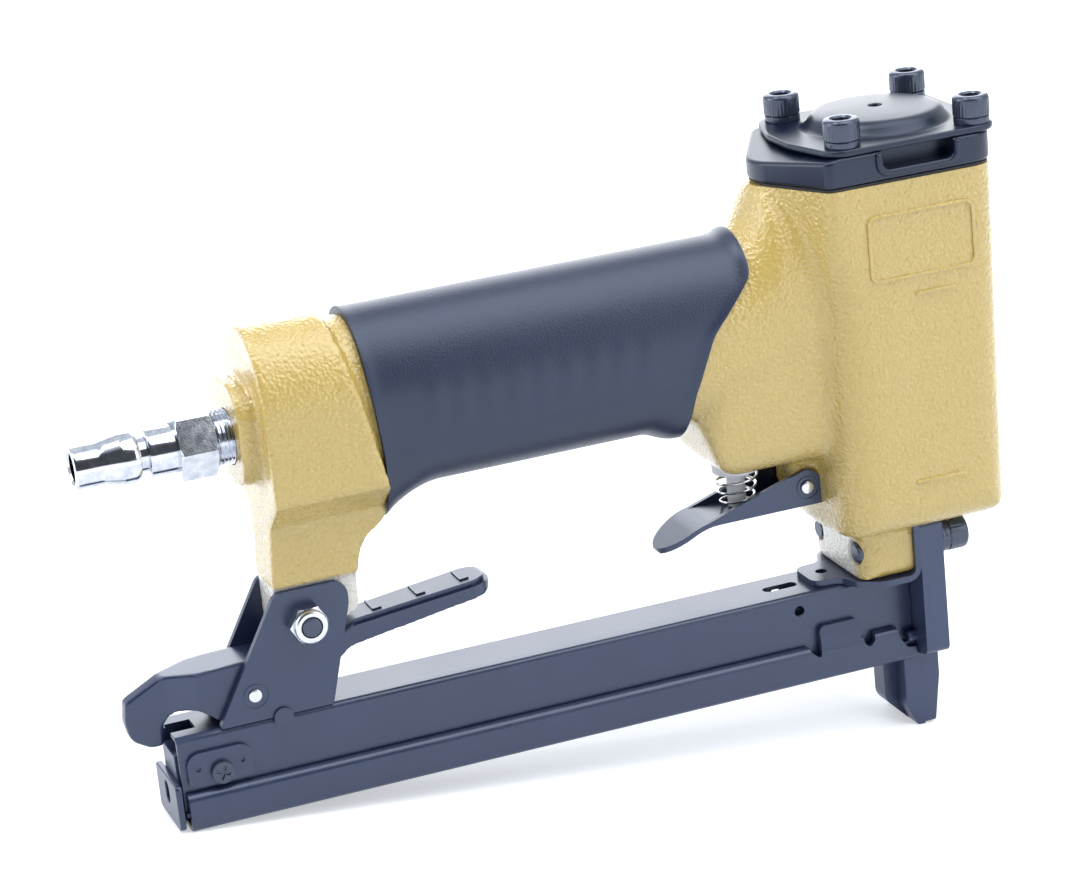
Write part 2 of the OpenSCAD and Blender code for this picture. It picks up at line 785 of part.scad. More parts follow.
// Pressed trigger: a trough with tapered cheeks and a curved finger blade
module trigger() {
  knee = stem_x - 7.5;
  finger = finger_len * [cos(droop), sin(droop)];
  cheeks = rounded([
    [pin_x + 3.8, web_z, 1],
    [pin_x + 3.8, pin_z + 3.2, 3],
    [pin_x - 4, pin_z + 3.2, 3],
    [knee - 3, web_z + 0.9],
    [knee - 3, web_z + 0.3],
    [knee, web_z]
  ]);
  blade = concat(
    [[pin_x + 3.8, web_z], [pin_x + 3.8, web_top]],
    [for (a = [0:4:droop]) bend(knee, trigger_t, a)],
    [bend(knee, trigger_t, droop) - finger, bend(knee, 0, droop) - finger],
    [for (a = [droop:-4:0]) bend(knee, 0, a)]
  );
  tip = bend(knee, trigger_t, droop).x - finger.x;
  blade_plan = rounded(mirrored([[pin_x + 5, trigger_w / 2], [tip, trigger_w / 2, 5.5]]), 8);
  color(black) difference() {
    union() {
      both() side(cheeks, trigger_t, trigger_w / 2 - trigger_t / 2);
      intersection() {
        side(blade, trigger_w);
        plan(blade_plan, web_z - bend_r - finger_len, web_top + 1);
      }
    }
    bar_y(trigger_pin_d / 2 + run_gap, -trigger_w, trigger_w, pin_x, pin_z);
  }
}

// Bright pin of the trigger
module trigger_pin() {
  color(bright) bar_y(trigger_pin_d / 2, -trigger_w / 2 - 0.6, trigger_w / 2 + 0.6, pin_x, pin_z);
}

// Tapered coil between the valve housing and the trigger
module trigger_spring() {
  end = spring_wire / 2 + 0.15;
  path = coil_path(3.6, 5.0, web_top + end, collar_z - end, spring_curls);
  echo(str("least gap of trigger_spring to itself: ", coil_gap(path, spring_wire), " mm"));
  color(bright) translate([stem_x, 0, 0]) coil(path, spring_wire);
}

// Outline of the nose in Y and Z: narrow at the tip, wide above the slide's underside
wide_z = slide_z + 2.5;
nose_outline = rounded([
  [-nose_w / 2, 0, 1], [nose_w / 2, 0, 1], [nose_w / 2, wide_z - 1.5, 1], [plate_w / 2, wide_z, 2],
  [plate_w / 2, front_plate_top, 1], [-plate_w / 2, front_plate_top, 1],
  [-plate_w / 2, wide_z, 2], [-nose_w / 2, wide_z - 1.5, 1]
]);

// Wide front plate that runs down into the front half of the nose
module front_plate() {
  profile = rounded([
    [parting_x, 0], [groove_x + 1.5, 0, 0.6], [plate_front, 12, 12],
    [plate_front, front_plate_top], [parting_x, front_plate_top]
  ]);
  color(black) difference() {
    intersection() {
      along_x(nose_outline, parting_x, plate_front);
      side(profile, plate_w + 2);
    }
    box([parting_x - 1, -staple_w / 2 - 0.05, -1], [groove_x, staple_w / 2 + 0.05, floor_z]);
    both() bar_x(hole_r, parting_x - 1, plate_front + 1, front_screw_dy / 2, front_screw_z);
  }
}

// Socket screws through the front plate into the neck
module front_screws() {
  shank = front_screw_head - neck_rear - 0.6;
  color(black) both() translate([0, front_screw_dy / 2, front_screw_z])
    rotate([0, 90, 0]) socket_screw(front_screw_head, shank);
}

// Plain washers on the front plate
module front_washers() {
  color(black) both() translate([0, front_screw_dy / 2, front_screw_z])
    rotate([0, 90, 0]) ring_z(screw_head_d / 2 + 0.3, hole_r, plate_front, plate_front + washer_t);
}

// Split washers under the front screws
module front_lock_washers() {
  color(black) both() translate([0, front_screw_dy / 2, front_screw_z])
    rotate([0, 90, 0]) lock_washer(plate_front + washer_t, front_screw_head);
}

// Rear half of the nose: guide plate with the staple window, flange and heel rib
module nose_guide() {
  heel_top = slide_z - 0.4;
  heel = rounded([
    [parting_x - 1, 0], [parting_x - 1, heel_top], [parting_x - heel_len, heel_top],
    [parting_x - heel_len, 6, 4], [parting_x - 2, 0, 1]
  ]);
  flange = rounded([
    [parting_x, 0], [parting_x, heel_top], [parting_x - 4.5, heel_top],
    [parting_x - 4.5, 5, 4], [parting_x - 2, 0, 1]
  ]);
  color(black) difference() {
    union() {
      along_x(nose_outline, guide_x, parting_x);
      side(flange, nose_w);
      side(heel, 5.6);
    }
    box([guide_x - 1, -channel_in, slide_z + 1.5], [parting_x + 1, channel_in, channel_top - sheet_t]);
    both() bar_x(hole_r, guide_x - 1, parting_x + 1, front_screw_dy / 2, front_screw_z);
    both() bar_x(locating_r + seat_gap, guide_x - 1, parting_x + 1, locating_y, locating_z);
  }
}

// Short pins that line up the slide's front end
module locating_pins() {
  color(black) both() bar_x(locating_r, slide_step_x + 0.4, parting_x, locating_y, locating_z);
}

// Bent bracket between the neck, the front plate and the channel
module front_bracket() {
  ear_x = neck_rear - 9;
  seat = rounded(mirrored([
    [guide_x, neck_w / 2, 0.5], [neck_rear + 3, neck_w / 2, 6], [neck_rear - 1.5, 6, 4], [ear_x, 5.8, 2.5]
  ]));
  color(black) difference() {
    union() {
      plan(seat, channel_top, neck_z);
      box([neck_front, -neck_w / 2, channel_top], [guide_x, neck_w / 2, front_plate_top]);
    }
    bar_z(1.4, channel_top - 1, neck_z + 1, neck_rear - 4.4);
    both() bar_x(hole_r, neck_front - 1, guide_x + 1, front_screw_dy / 2, front_screw_z);
  }
}

// Fixed channel that holds the staples, with feet turned out inside the slide
module magazine_channel() {
  foot_z = flange_top - sheet_t;
  section = [
    [-channel_half, channel_top], [channel_half, channel_top],
    [channel_half, flange_top], [flange_y, flange_top], [flange_y, foot_z], [channel_in, foot_z],
    [channel_in, roof_z], [-channel_in, roof_z],
    [-channel_in, foot_z], [-flange_y, foot_z], [-flange_y, flange_top], [-channel_half, flange_top]
  ];
  color(black) difference() {
    along_x(section, tail_x, mag_front);
    box([tail_x - 1, -2.7, roof_z - 1], [tail_x + 5.8, 2.7, channel_top + 1]);
    plan(rounded(mirrored([[mag_front - 26, 1.5, 1.2], [mag_front - 32, 1.5, 1.2]])),
         roof_z - 1, channel_top + 1);
    both() bar_y(1.3, channel_in - 1, channel_half + 1, mag_front - 28.8, channel_top - 4.1);
    both() bar_y(side_screw_r + seat_gap, channel_in - 1, channel_half + 1, side_screw_x, side_screw_z);
  }
}

// Oblong plates on the channel's sides near its rear end
module side_plates() {
  outline = rounded([
    [side_screw_x - 7.8, side_screw_z - 2.6, 1.5], [side_screw_x + 7.4, side_screw_z - 2.6, 1.5],
    [side_screw_x + 7.4, side_screw_z + 5.4, 3], [side_screw_x - 7.8, side_screw_z + 5.4, 3]
  ]);
  color(black) both() difference() {
    side(outline, side_plate_t, channel_half + side_plate_t / 2);
    bar_y(side_screw_r + seat_gap, channel_half - 1, channel_half + 3, side_screw_x, side_screw_z);
    for (x = [-5.4, 4.9])
      bar_y(0.6, channel_half + 0.5, channel_half + 3, side_screw_x + x, side_screw_z + 1.6);
  }
}

// Cross-recess screws of the side plates
module side_plate_screws() {
  y = channel_half + side_plate_t;
  color(black) both() difference() {
    union() {
      bar_y(side_screw_r, channel_in, y + 0.5, side_screw_x, side_screw_z);
      bar_y(2.6, y, y + 1.3, side_screw_x, side_screw_z);
    }
    for (a = [20, 110]) translate([side_screw_x, y + 1, side_screw_z]) rotate([0, a, 0])
      box([-1.6, -0.2, -0.35], [1.6, 1, 0.35]);
  }
}

// Folded slide under the channel, with upright tabs near its front
module magazine_slide() {
  front = guide_x - 0.25;
  rear = tail_x + 0.6;
  half = concat(
    [[slide_in, rail_z], [slide_in, lip_z - slide_t], [lip_y, lip_z - slide_t], [lip_y, lip_z]],
    corner([slide_half, lip_z], [lip_y, lip_z], [slide_half, slide_z], 1.4, 5),
    corner([slide_half, slide_z], [slide_half, lip_z], [0, slide_z], 1.4, 5)
  );
  section = concat(half, [for (i = [len(half) - 1:-1:0]) [-half[i].x, half[i].y]]);
  tab = rounded([
    [tab_x - 5.2, lip_z - 3], [tab_x - 5.2, lip_z + 7.2, 1.5],
    [tab_x + 5.2, lip_z + 7.2, 1.5], [tab_x + 5.2, lip_z - 3]
  ]);
  color(black) difference() {
    union() {
      along_x(section, rear, front);
      both() side(tab, slide_t, slide_half - slide_t / 2);
    }
    both() for (x = [tab_x - 6.3, tab_x + 6.6])
      bar_y(1.2, lip_y - 1, slide_half + 1, x, lip_z - 0.4);
    both() box([tab_x - 5.2, lip_y - 1, lip_z - slide_t - 0.1], [tab_x + 5.2, slide_in, lip_z + 1]);
    both() box([slide_step_x, lip_y - 1, flange_top - 0.4], [front + 1, slide_half + 1, lip_z + 1]);
  }
}

// Upright plate across the slide's rear end
module slide_end_plate() {
  half = slide_half - 1;
  top_z = slide_z + 11.3;
  outline = rounded([
    [-half, slide_z + 0.3, 1.5], [half, slide_z + 0.3, 1.5], [half, top_z, 1], [-half, top_z, 1]
  ]);
  slot = rounded([
    [-1.7, top_z - 6.8, 1.6], [1.7, top_z - 6.8, 1.6], [1.7, top_z - 1.6, 1.6], [-1.7, top_z - 1.6, 1.6]
  ]);
  color(black) difference() {
    along_x(outline, rail_rear - end_plate_t, rail_rear);
    along_x(slot, rail_rear - 3, rail_rear + 1);
  }
}

// Rail that the staples straddle, with end blocks for the guide rod
module staple_rail() {
  inner = rail_half - sheet_t;
  color(grey) difference() {
    box([rail_rear, -rail_half, rail_z], [rail_front, rail_half, rail_top]);
    box([rail_rear + 3, -inner, rail_z - 1], [rail_front - 4, inner, rail_top - sheet_t]);
    box([rail_rear + 8, -slot_half, rail_z], [rail_front - 8, slot_half, rail_top + 1]);
    bar_x(rod_r + seat_gap, rail_rear + 0.8, rail_front - 0.8, 0, rod_z);
  }
}

// Rod that guides the pusher and its spring
module guide_rod() {
  color(bright) bar_x(rod_r, rail_rear + 1, rail_front - 1, 0, rod_z);
}

// Saddle that pushes the staples forwards along the rail
module pusher() {
  rear = pusher_front - pusher_len;
  outer = pusher_y + 0.85;
  color(grey) difference() {
    union() {
      difference() {
        box([rear, -outer, rod_z - 1], [pusher_front, outer, pusher_z + sheet_t + 0.1]);
        box([rear - 1, -pusher_y, rod_z - 2], [pusher_front + 1, pusher_y, pusher_z]);
      }
      box([tongue_x - 1, -1, rod_z], [tongue_x + 1, 1, pusher_z + 0.5]);
      box([tongue_x - 1, -rod_r - 1.4, rod_z - 3], [tongue_x + 1, rod_r + 1.4, rod_z + 3]);
    }
    bar_x(rod_r + run_gap, tongue_x - 2, tongue_x + 2, 0, rod_z);
  }
}

// Long coil behind the pusher, drawn as a tube
module pusher_spring() {
  color(bright) difference() {
    bar_x(rod_r + 1.5, rail_rear + 3.2, tongue_x - 1.2, 0, rod_z);
    bar_x(rod_r + 0.25, rail_rear + 3, tongue_x, 0, rod_z);
  }
}

// Two cheeks and a base that tie the leg to the channel
module rear_bracket() {
  cheek = rounded([
    [latch_x - 9, channel_top, 0.5], [block_rear - 1, leg_z - 0.7, 3], [bolt_x + 10.5, leg_z - 0.7, 3.5],
    [bolt_x + 10.3, bolt_z + 2, 3], [bolt_x + 4, channel_top, 0.5]
  ]);
  color(black) difference() {
    union() {
      both() side(cheek, bracket_t, bracket_half - bracket_t / 2);
      box([latch_x - 7, -bracket_half + 0.2, channel_top],
          [bolt_x + 3.4, bracket_half - 0.2, channel_top + 1.2]);
      both() bar_y(2.3, channel_half, bracket_half + 0.7, bolt_x - 8, channel_top - 0.3);
    }
    bar_y(hole_r, -handle_w, handle_w, bolt_x, bolt_z);
    bar_y(latch_pin_d / 2 + seat_gap, -handle_w, handle_w, latch_x, latch_z);
  }
}

// Bolt through the bracket's cheeks and the leg
module bracket_bolt() {
  color(black) {
    bar_y(screw_r, -bracket_half - 5, bracket_half + 0.5, bolt_x, bolt_z);
    translate([bolt_x, bracket_half, bolt_z])
      rotate([-90, 0, 0]) cylinder(r = screw_d * 0.92, h = 3.5, $fn = 6);
  }
}

// Self-locking nut with a round collar
module bracket_nut() {
  color(bright) difference() {
    union() {
      translate([bolt_x, -bracket_half, bolt_z])
        rotate([90, 0, 0]) cylinder(r = screw_d * 0.92, h = 3.4, $fn = 6);
      bar_y(screw_d * 0.78, -bracket_half - 4.8, -bracket_half - 3, bolt_x, bolt_z);
    }
    bar_y(screw_r + seat_gap, -bracket_half - 6, -bracket_half + 1, bolt_x, bolt_z);
  }
}

// Bright pin that the latch turns on
module latch_pin() {
  color(bright) bar_y(latch_pin_d / 2, -bracket_half - 0.4, bracket_half + 0.4, latch_x, latch_z);
}

// Pressed lever: finger arm in front, pivot between the cheeks, hook behind the slide
module latch_lever() {
  arm_x = bolt_x + arm_len;
  beak_x = hook_x - 7.4;
  arm_z = lever_web + 4.8;
  outline = rounded([
    [arm_x, arm_z + 1.5, 1], [bolt_x + 11.5, arm_z, 3], [bolt_x + 5, lever_web, 3],
    [latch_x - 3, lever_web, 4], [tail_x + 9, lever_web - 3, 4], [tail_x + 1, lever_web - 3.4, 4],
    [beak_x, lever_web - 6.6, 1.5],
    [beak_x, hook_z + 5, 5], [beak_x + 3, hook_z, 2], [hook_x, hook_z, 0.6], [hook_x, hook_z + 4, 2],
    [hook_x + 3, latch_z + 0.3, 2], [tail_x + 8, latch_z - 0.6, 3], [tail_x + 9.5, latch_z - 3.2, 1],
    [latch_x + 5, latch_z - 2.8, 3], [bolt_x + 5, lever_web - 5.5, 3],
    [bolt_x + 9.5, arm_z - 3.5, 3], [arm_x, arm_z - 2.4, 1.5]
  ], 4);
  wide = mirrored([
    [arm_x, lever_half + 0.3, 5], [bolt_x + 12, lever_half - 0.9, 6], [bolt_x + 4, lever_half, 6],
    [tail_x + 12, lever_half, 5], [tail_x, 3.4, 5], [beak_x, 2.8, 1.5]
  ]);
  inside = mirrored([
    [arm_x - lever_t, lever_half + 0.3 - lever_t, 4], [bolt_x + 12, lever_half - 0.9 - lever_t, 6],
    [bolt_x + 4, lever_half - lever_t, 6], [tail_x + 12, lever_half - lever_t, 5],
    [tail_x, 3.4 - lever_t, 5], [beak_x + lever_t, 2.8 - lever_t, 0.6]
  ]);
  color(black) difference() {
    intersection() {
      side(outline, channel_w + 4);
      plan(rounded(wide, 4), hook_z - 2, arm_z + 4);
    }
    intersection() {
      translate([0, 0, -lever_t]) side(outline, channel_w + 4);
      plan(rounded(inside, 4), hook_z - 5, arm_z + 4);
    }
    bar_y(latch_pin_d / 2 + run_gap, -handle_w, handle_w, latch_x, latch_z);
  }
}

// Coil on the latch pin, drawn as a tube
module latch_spring() {
  color(bright) difference() {
    bar_y(latch_pin_d / 2 + 0.9, -lever_half + lever_t + 0.5, lever_half - lever_t - 0.5, latch_x, latch_z);
    bar_y(latch_pin_d / 2 + 0.2, -lever_half, lever_half, latch_x, latch_z);
  }
}

// Chromed plug for a quick hose coupling
module air_plug() {
  r = plug_d / 2;
  plug_bore = plug_d - 2 * plug_wall;
  hex_x = boss_rear - 3.4;
  color(bright) translate([hex_x, 0, plug_z]) rotate([0, -90, 0]) difference() {
    union() {
      translate([0, 0, -11.4]) cylinder(r = plug_thread / 2, h = 11.5);
      cylinder(r = plug_hex / sqrt(3), h = 8.5, $fn = 6);
      translate([0, 0, 8.4]) rotate_extrude() polygon([
        [plug_bore / 2, 0], [r + 0.6, 0], [r + 0.6, 6.5], [r - 0.9, 6.5], [r - 0.9, 8.4],
        [r + 0.4, 8.4], [r + 1, 9.4], [r + 1, 12.4], [r, 17.2], [r, 23.2], [plug_bore / 2, 23.2]
      ]);
    }
    translate([0, 0, -13]) cylinder(r = plug_bore / 2, h = 50);
  }
}

gun_body();
handle_grip();
cylinder_cap();
cap_gasket();
exhaust_cover();
cap_screws();
cap_lock_washers();
cylinder_sleeve();
sleeve_o_rings();
bumper();
head_valve();
head_valve_o_ring();
head_valve_spring();
piston();
piston_o_ring();
driver_blade();
driver_pin();
valve_housing();
valve_stem();
stem_o_ring();
trigger();
trigger_pin();
trigger_spring();
front_plate();
front_screws();
front_washers();
front_lock_washers();
nose_guide();
locating_pins();
front_bracket();
magazine_channel();
side_plates();
side_plate_screws();
magazine_slide();
slide_end_plate();
staple_rail();
guide_rod();
pusher();
pusher_spring();
rear_bracket();
bracket_bolt();
bracket_nut();
latch_pin();
latch_lever();
latch_spring();
air_plug();
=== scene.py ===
# %% [markdown]
# # A pneumatic upholstery stapler
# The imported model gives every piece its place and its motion. This lesson dresses it: each solid that
# shows gets a finished shape with rounded edges, and every surface gets its own finish.

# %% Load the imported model
import json
import math

import bpy
from mathutils import Matrix, Vector


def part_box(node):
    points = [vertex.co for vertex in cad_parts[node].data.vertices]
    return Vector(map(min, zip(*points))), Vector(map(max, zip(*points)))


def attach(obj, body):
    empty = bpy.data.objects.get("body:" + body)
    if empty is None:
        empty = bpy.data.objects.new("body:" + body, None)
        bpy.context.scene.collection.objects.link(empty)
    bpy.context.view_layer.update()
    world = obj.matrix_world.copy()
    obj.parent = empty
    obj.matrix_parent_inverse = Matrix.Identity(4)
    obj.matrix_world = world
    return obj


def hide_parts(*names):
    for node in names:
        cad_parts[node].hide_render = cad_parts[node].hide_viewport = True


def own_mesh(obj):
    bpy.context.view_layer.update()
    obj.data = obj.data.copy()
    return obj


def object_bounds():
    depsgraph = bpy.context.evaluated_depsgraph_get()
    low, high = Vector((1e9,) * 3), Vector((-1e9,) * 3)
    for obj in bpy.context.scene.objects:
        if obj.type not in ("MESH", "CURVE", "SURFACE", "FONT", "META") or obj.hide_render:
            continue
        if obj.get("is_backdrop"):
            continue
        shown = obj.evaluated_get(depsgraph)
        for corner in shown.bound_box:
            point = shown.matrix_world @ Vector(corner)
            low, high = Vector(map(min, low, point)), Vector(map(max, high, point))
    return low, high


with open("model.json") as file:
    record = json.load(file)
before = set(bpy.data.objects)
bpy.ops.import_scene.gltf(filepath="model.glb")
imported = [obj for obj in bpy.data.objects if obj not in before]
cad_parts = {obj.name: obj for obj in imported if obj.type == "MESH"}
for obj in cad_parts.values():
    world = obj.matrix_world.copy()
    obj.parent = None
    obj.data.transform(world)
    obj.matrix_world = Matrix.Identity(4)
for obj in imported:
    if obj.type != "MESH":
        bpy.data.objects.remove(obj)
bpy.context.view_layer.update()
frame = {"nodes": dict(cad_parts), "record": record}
MM = 0.001
body_of = {node: body for body, members in frame["record"]["behaviour"]["bodies"].items() for node in members}

# %% [markdown]
# ## Camera
# The picture was taken with a long lens from the tool's right side, a little above it. The tool leans back on
# its magazine, so the camera is turned by the same lean. Its place was found from the cap screws' square.

# %% Set up the camera
photo_width = 1090
focal_px = 3449.8
sensor_mm = 36.0
eye = Vector((-329.1, -709.6, 336.1)) * MM
azimuth, elevation, lean = (math.radians(a) for a in (-20.5, 16.18, 6.01))
back = Vector((math.sin(azimuth) * math.cos(elevation),
               -math.cos(azimuth) * math.cos(elevation),
               math.sin(elevation)))
right = Vector((math.cos(azimuth), math.sin(azimuth), 0))
axes = Matrix.Rotation(lean, 3, "Y") @ Matrix((right, back.cross(right), back)).transposed()
bpy.ops.object.select_all(action="DESELECT")
bpy.ops.object.camera_add()
camera = bpy.context.object
camera.matrix_world = Matrix.Translation(eye) @ axes.to_4x4()
camera.data.sensor_width = sensor_mm
camera.data.lens = sensor_mm * focal_px / photo_width
bpy.context.scene.camera = camera
print("lens", round(camera.data.lens, 1), "mm")

# %% [markdown]
# ## Studio
# The tool stands on its nose and on the rear edge of its magazine, so the floor is the plane through both.
# Behind that edge the floor is bent level, because the magazine draws out backwards just above it. One big
# plane is enough, with a bisected line where it bends.

# %% Lay the floor
nose_heel = -3.2
floor_size = 8
slide_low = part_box("magazine_slide")[0] / MM
tilt = math.atan2(slide_low.z, nose_heel - slide_low.x)
bpy.ops.mesh.primitive_plane_add(size=floor_size, location=(nose_heel * MM, 0, 0), rotation=(0, tilt, 0))
floor = bpy.context.object
floor.name = "studio_floor"
bpy.ops.object.transform_apply(location=False, rotation=True)
bend = Vector((slide_low.x - nose_heel + 1, 0, 0)) * MM
bpy.ops.object.mode_set(mode="EDIT")
bpy.ops.mesh.select_all(action="SELECT")
bpy.ops.mesh.bisect(plane_co=floor.matrix_world @ bend, plane_no=(1, 0, 0))
bpy.ops.object.mode_set(mode="OBJECT")
bend_height = -bend.x * math.tan(tilt)
for corner in floor.data.vertices:
    if corner.co.x < bend.x:
        corner.co.z = min(corner.co.z, bend_height)
floor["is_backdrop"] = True
print("floor tilt", round(math.degrees(tilt), 2), "degrees")

# %% [markdown]
# The floor is pale and keeps the shadow round the tool. Further out it glows white, so that it runs into the
# background without an edge. Only rays that show the floor, straight or in a mirror, see the glow, so it adds
# no light to the tool's matt surfaces.


# %% Paint the floor
def add(tree, kind, settings=(), **values):
    """A new node, with its properties from settings and its input values by name."""
    made = tree.nodes.new(kind)
    for name, value in dict(settings).items():
        setattr(made, name, value)
    for name, value in values.items():
        made.inputs[name.replace("_", " ")].default_value = value
    return made


def calculated(tree, operation, one, two):
    """Two values put together by a Math node."""
    made = add(tree, "ShaderNodeMath", {"operation": operation})
    tree.links.new(one, made.inputs[0])
    tree.links.new(two, made.inputs[1])
    return made.outputs[0]


def seen_directly(tree):
    """A value of 1 for camera, glossy and transmission rays, and 0 for the light that falls on things."""
    path = add(tree, "ShaderNodeLightPath")
    value = path.outputs["Is Camera Ray"]
    for name in ("Is Glossy Ray", "Is Transmission Ray"):
        value = calculated(tree, "MAXIMUM", value, path.outputs[name])
    return value


middle = Vector((-0.09, 0, 0.08))
floor_paint = bpy.data.materials.new("floor_paint")
floor_paint.use_nodes = True
tree = floor_paint.node_tree
tree.nodes.remove(tree.nodes["Principled BSDF"])
place = add(tree, "ShaderNodeTexCoord")
reach = add(tree, "ShaderNodeVectorMath", {"operation": "DISTANCE"})
reach.inputs[1].default_value = (middle.x, 0, 0)
tree.links.new(place.outputs["Object"], reach.inputs[0])
fading = add(tree, "ShaderNodeMapRange", {"interpolation_type": "SMOOTHSTEP"},
             From_Min=0.16, From_Max=0.40, To_Min=0.46, To_Max=1.0)
tree.links.new(reach.outputs["Value"], fading.inputs["Value"])
glow = add(tree, "ShaderNodeEmission", Color=(0.98, 0.99, 1.0, 1))
strength = calculated(tree, "MULTIPLY", seen_directly(tree), fading.outputs["Result"])
tree.links.new(strength, glow.inputs["Strength"])
matt = add(tree, "ShaderNodeBsdfDiffuse", Color=(0.74, 0.77, 0.82, 1))
both = add(tree, "ShaderNodeAddShader")
tree.links.new(matt.outputs[0], both.inputs[0])
tree.links.new(glow.outputs[0], both.inputs[1])
tree.links.new(both.outputs[0], tree.nodes["Material Output"].inputs["Surface"])
floor.data.materials.append(floor_paint)
print("floor paint:", len(tree.nodes), "nodes")

# %% [markdown]
# A camera ray that misses the floor sees plain white. A reflection sees a pale room that is dim behind the
# camera, because metal needs something dark to mirror. All other light from the world is weak and even, and
# five soft boxes round the tool bring out its shapes.

# %% Light the studio
world = bpy.data.worlds.new("studio")
bpy.context.scene.world = world
world.use_nodes = True
tree = world.node_tree
soft_light = tree.nodes["Background"]
soft_light.inputs["Color"].default_value = (0.90, 0.94, 1.0, 1)
soft_light.inputs["Strength"].default_value = 0.40
way = add(tree, "ShaderNodeTexCoord")
towards = add(tree, "ShaderNodeVectorMath", {"operation": "DOT_PRODUCT"})
towards.inputs[1].default_value = (eye - middle).normalized()
tree.links.new(way.outputs["Generated"], towards.inputs[0])
dim = add(tree, "ShaderNodeMapRange", {"interpolation_type": "SMOOTHSTEP"},
          From_Min=0.58, From_Max=0.86, To_Min=1.0, To_Max=0.10)
tree.links.new(towards.outputs["Value"], dim.inputs["Value"])
mirrored_room = add(tree, "ShaderNodeBackground", Color=(0.88, 0.93, 1.0, 1))
tree.links.new(dim.outputs["Result"], mirrored_room.inputs["Strength"])
white = add(tree, "ShaderNodeBackground", Color=(1, 1, 1, 1), Strength=1.0)
path = add(tree, "ShaderNodeLightPath")
straight = calculated(tree, "MAXIMUM", path.outputs["Is Camera Ray"], path.outputs["Is Transmission Ray"])
seen = soft_light
for share, other in ((path.outputs["Is Glossy Ray"], mirrored_room), (straight, white)):
    mix = add(tree, "ShaderNodeMixShader")
    tree.links.new(share, mix.inputs["Fac"])
    tree.links.new(seen.outputs[0], mix.inputs[1])
    tree.links.new(other.outputs[0], mix.inputs[2])
    seen = mix
tree.links.new(seen.outputs[0], tree.nodes["World Output"].inputs["Surface"])


def lamp(name, place, size, power):
    """A square soft box, with its place in metres, turned towards the middle of the tool."""
    bpy.ops.object.light_add(type="AREA", location=place)
    light = bpy.context.object
    light.name = name
    light.data.size = size
    light.data.energy = power
    light.rotation_euler = (middle - Vector(place)).to_track_quat("-Z", "Y").to_euler()


lamp("key_box", (-0.52, -0.05, 1.20), 0.45, 5)
lamp("top_box", (0.28, -0.35, 1.06), 1.0, 8.5)
lamp("rear_box", (-1.08, 0.25, 0.45), 0.7, 5)
lamp("back_box", (0.29, 1.05, 0.51), 1.0, 8)
lamp("front_box", (0.75, -1.0, 0.45), 0.8, 3.6)
bpy.context.scene.view_settings.view_transform = "Standard"

# %% [markdown]
# ## Shared surface effects
# Paint, rubber and steel all vary a little over their surface. Three node groups give that variation: pebbles
# for hammered paint and rubber, clouds for slow changes, and a fine grain for cast and phosphated steel.
# Each material feeds them with its own sizes.


# %% Build the effect groups
def effect_group(name, inputs, outputs):
    """A node group with plain values going in and out, and the object's own coordinates inside."""
    group = bpy.data.node_groups.new(name, "ShaderNodeTree")
    for label, value in inputs.items():
        socket = group.interface.new_socket(label, in_out="INPUT", socket_type="NodeSocketFloat")
        socket.default_value = value
    for label in outputs:
        group.interface.new_socket(label, in_out="OUTPUT", socket_type="NodeSocketFloat")
    start, end = group.nodes.new("NodeGroupInput"), group.nodes.new("NodeGroupOutput")
    place = group.nodes.new("ShaderNodeTexCoord")
    return group, start, end, place.outputs["Object"]


pebbles, start, end, place = effect_group("pebbles", {"Scale": 700.0}, ("Height", "Pits"))
cells = add(pebbles, "ShaderNodeTexVoronoi", {"feature": "SMOOTH_F1"}, Smoothness=0.7)
waves = add(pebbles, "ShaderNodeTexNoise", Detail=2.0, Roughness=0.55)
for texture in (cells, waves):
    pebbles.links.new(place, texture.inputs["Vector"])
    pebbles.links.new(start.outputs["Scale"], texture.inputs["Scale"])
blend = add(pebbles, "ShaderNodeMath", {"operation": "ADD"})
pebbles.links.new(cells.outputs["Distance"], blend.inputs[0])
pebbles.links.new(waves.outputs["Fac"], blend.inputs[1])
pebbles.links.new(blend.outputs[0], end.inputs["Height"])
deep = add(pebbles, "ShaderNodeMapRange", From_Min=0.55, From_Max=1.25)
pebbles.links.new(blend.outputs[0], deep.inputs["Value"])
pebbles.links.new(deep.outputs["Result"], end.inputs["Pits"])

clouds, start, end, place = effect_group("clouds", {"Scale": 60.0}, ("Value",))
drift = add(clouds, "ShaderNodeTexNoise", Detail=3.0, Roughness=0.6)
clouds.links.new(place, drift.inputs["Vector"])
clouds.links.new(start.outputs["Scale"], drift.inputs["Scale"])
clouds.links.new(drift.outputs["Fac"], end.inputs["Value"])

grain, start, end, place = effect_group("grain", {"Scale": 2500.0}, ("Height",))
specks = add(grain, "ShaderNodeTexNoise", Detail=1.0, Roughness=0.5)
grain.links.new(place, specks.inputs["Vector"])
grain.links.new(start.outputs["Scale"], specks.inputs["Scale"])
grain.links.new(specks.outputs["Fac"], end.inputs["Height"])
print("effect groups:", [group.name for group in bpy.data.node_groups])

# %% [markdown]
# ## Finishes
# Each finish is a Principled BSDF. What is the same all over is set on its sockets, and what varies comes
# from the groups: colour and roughness through a colour ramp or a map range, and relief through a bump.


# %% Make the finishes
def linear(red, green, blue):
    """A colour that was picked on screen, 0 to 255, as linear light."""
    shares = (channel / 255 for channel in (red, green, blue))
    return tuple(((c + 0.055) / 1.055) ** 2.4 if c > 0.04 else c / 12.92 for c in shares) + (1,)


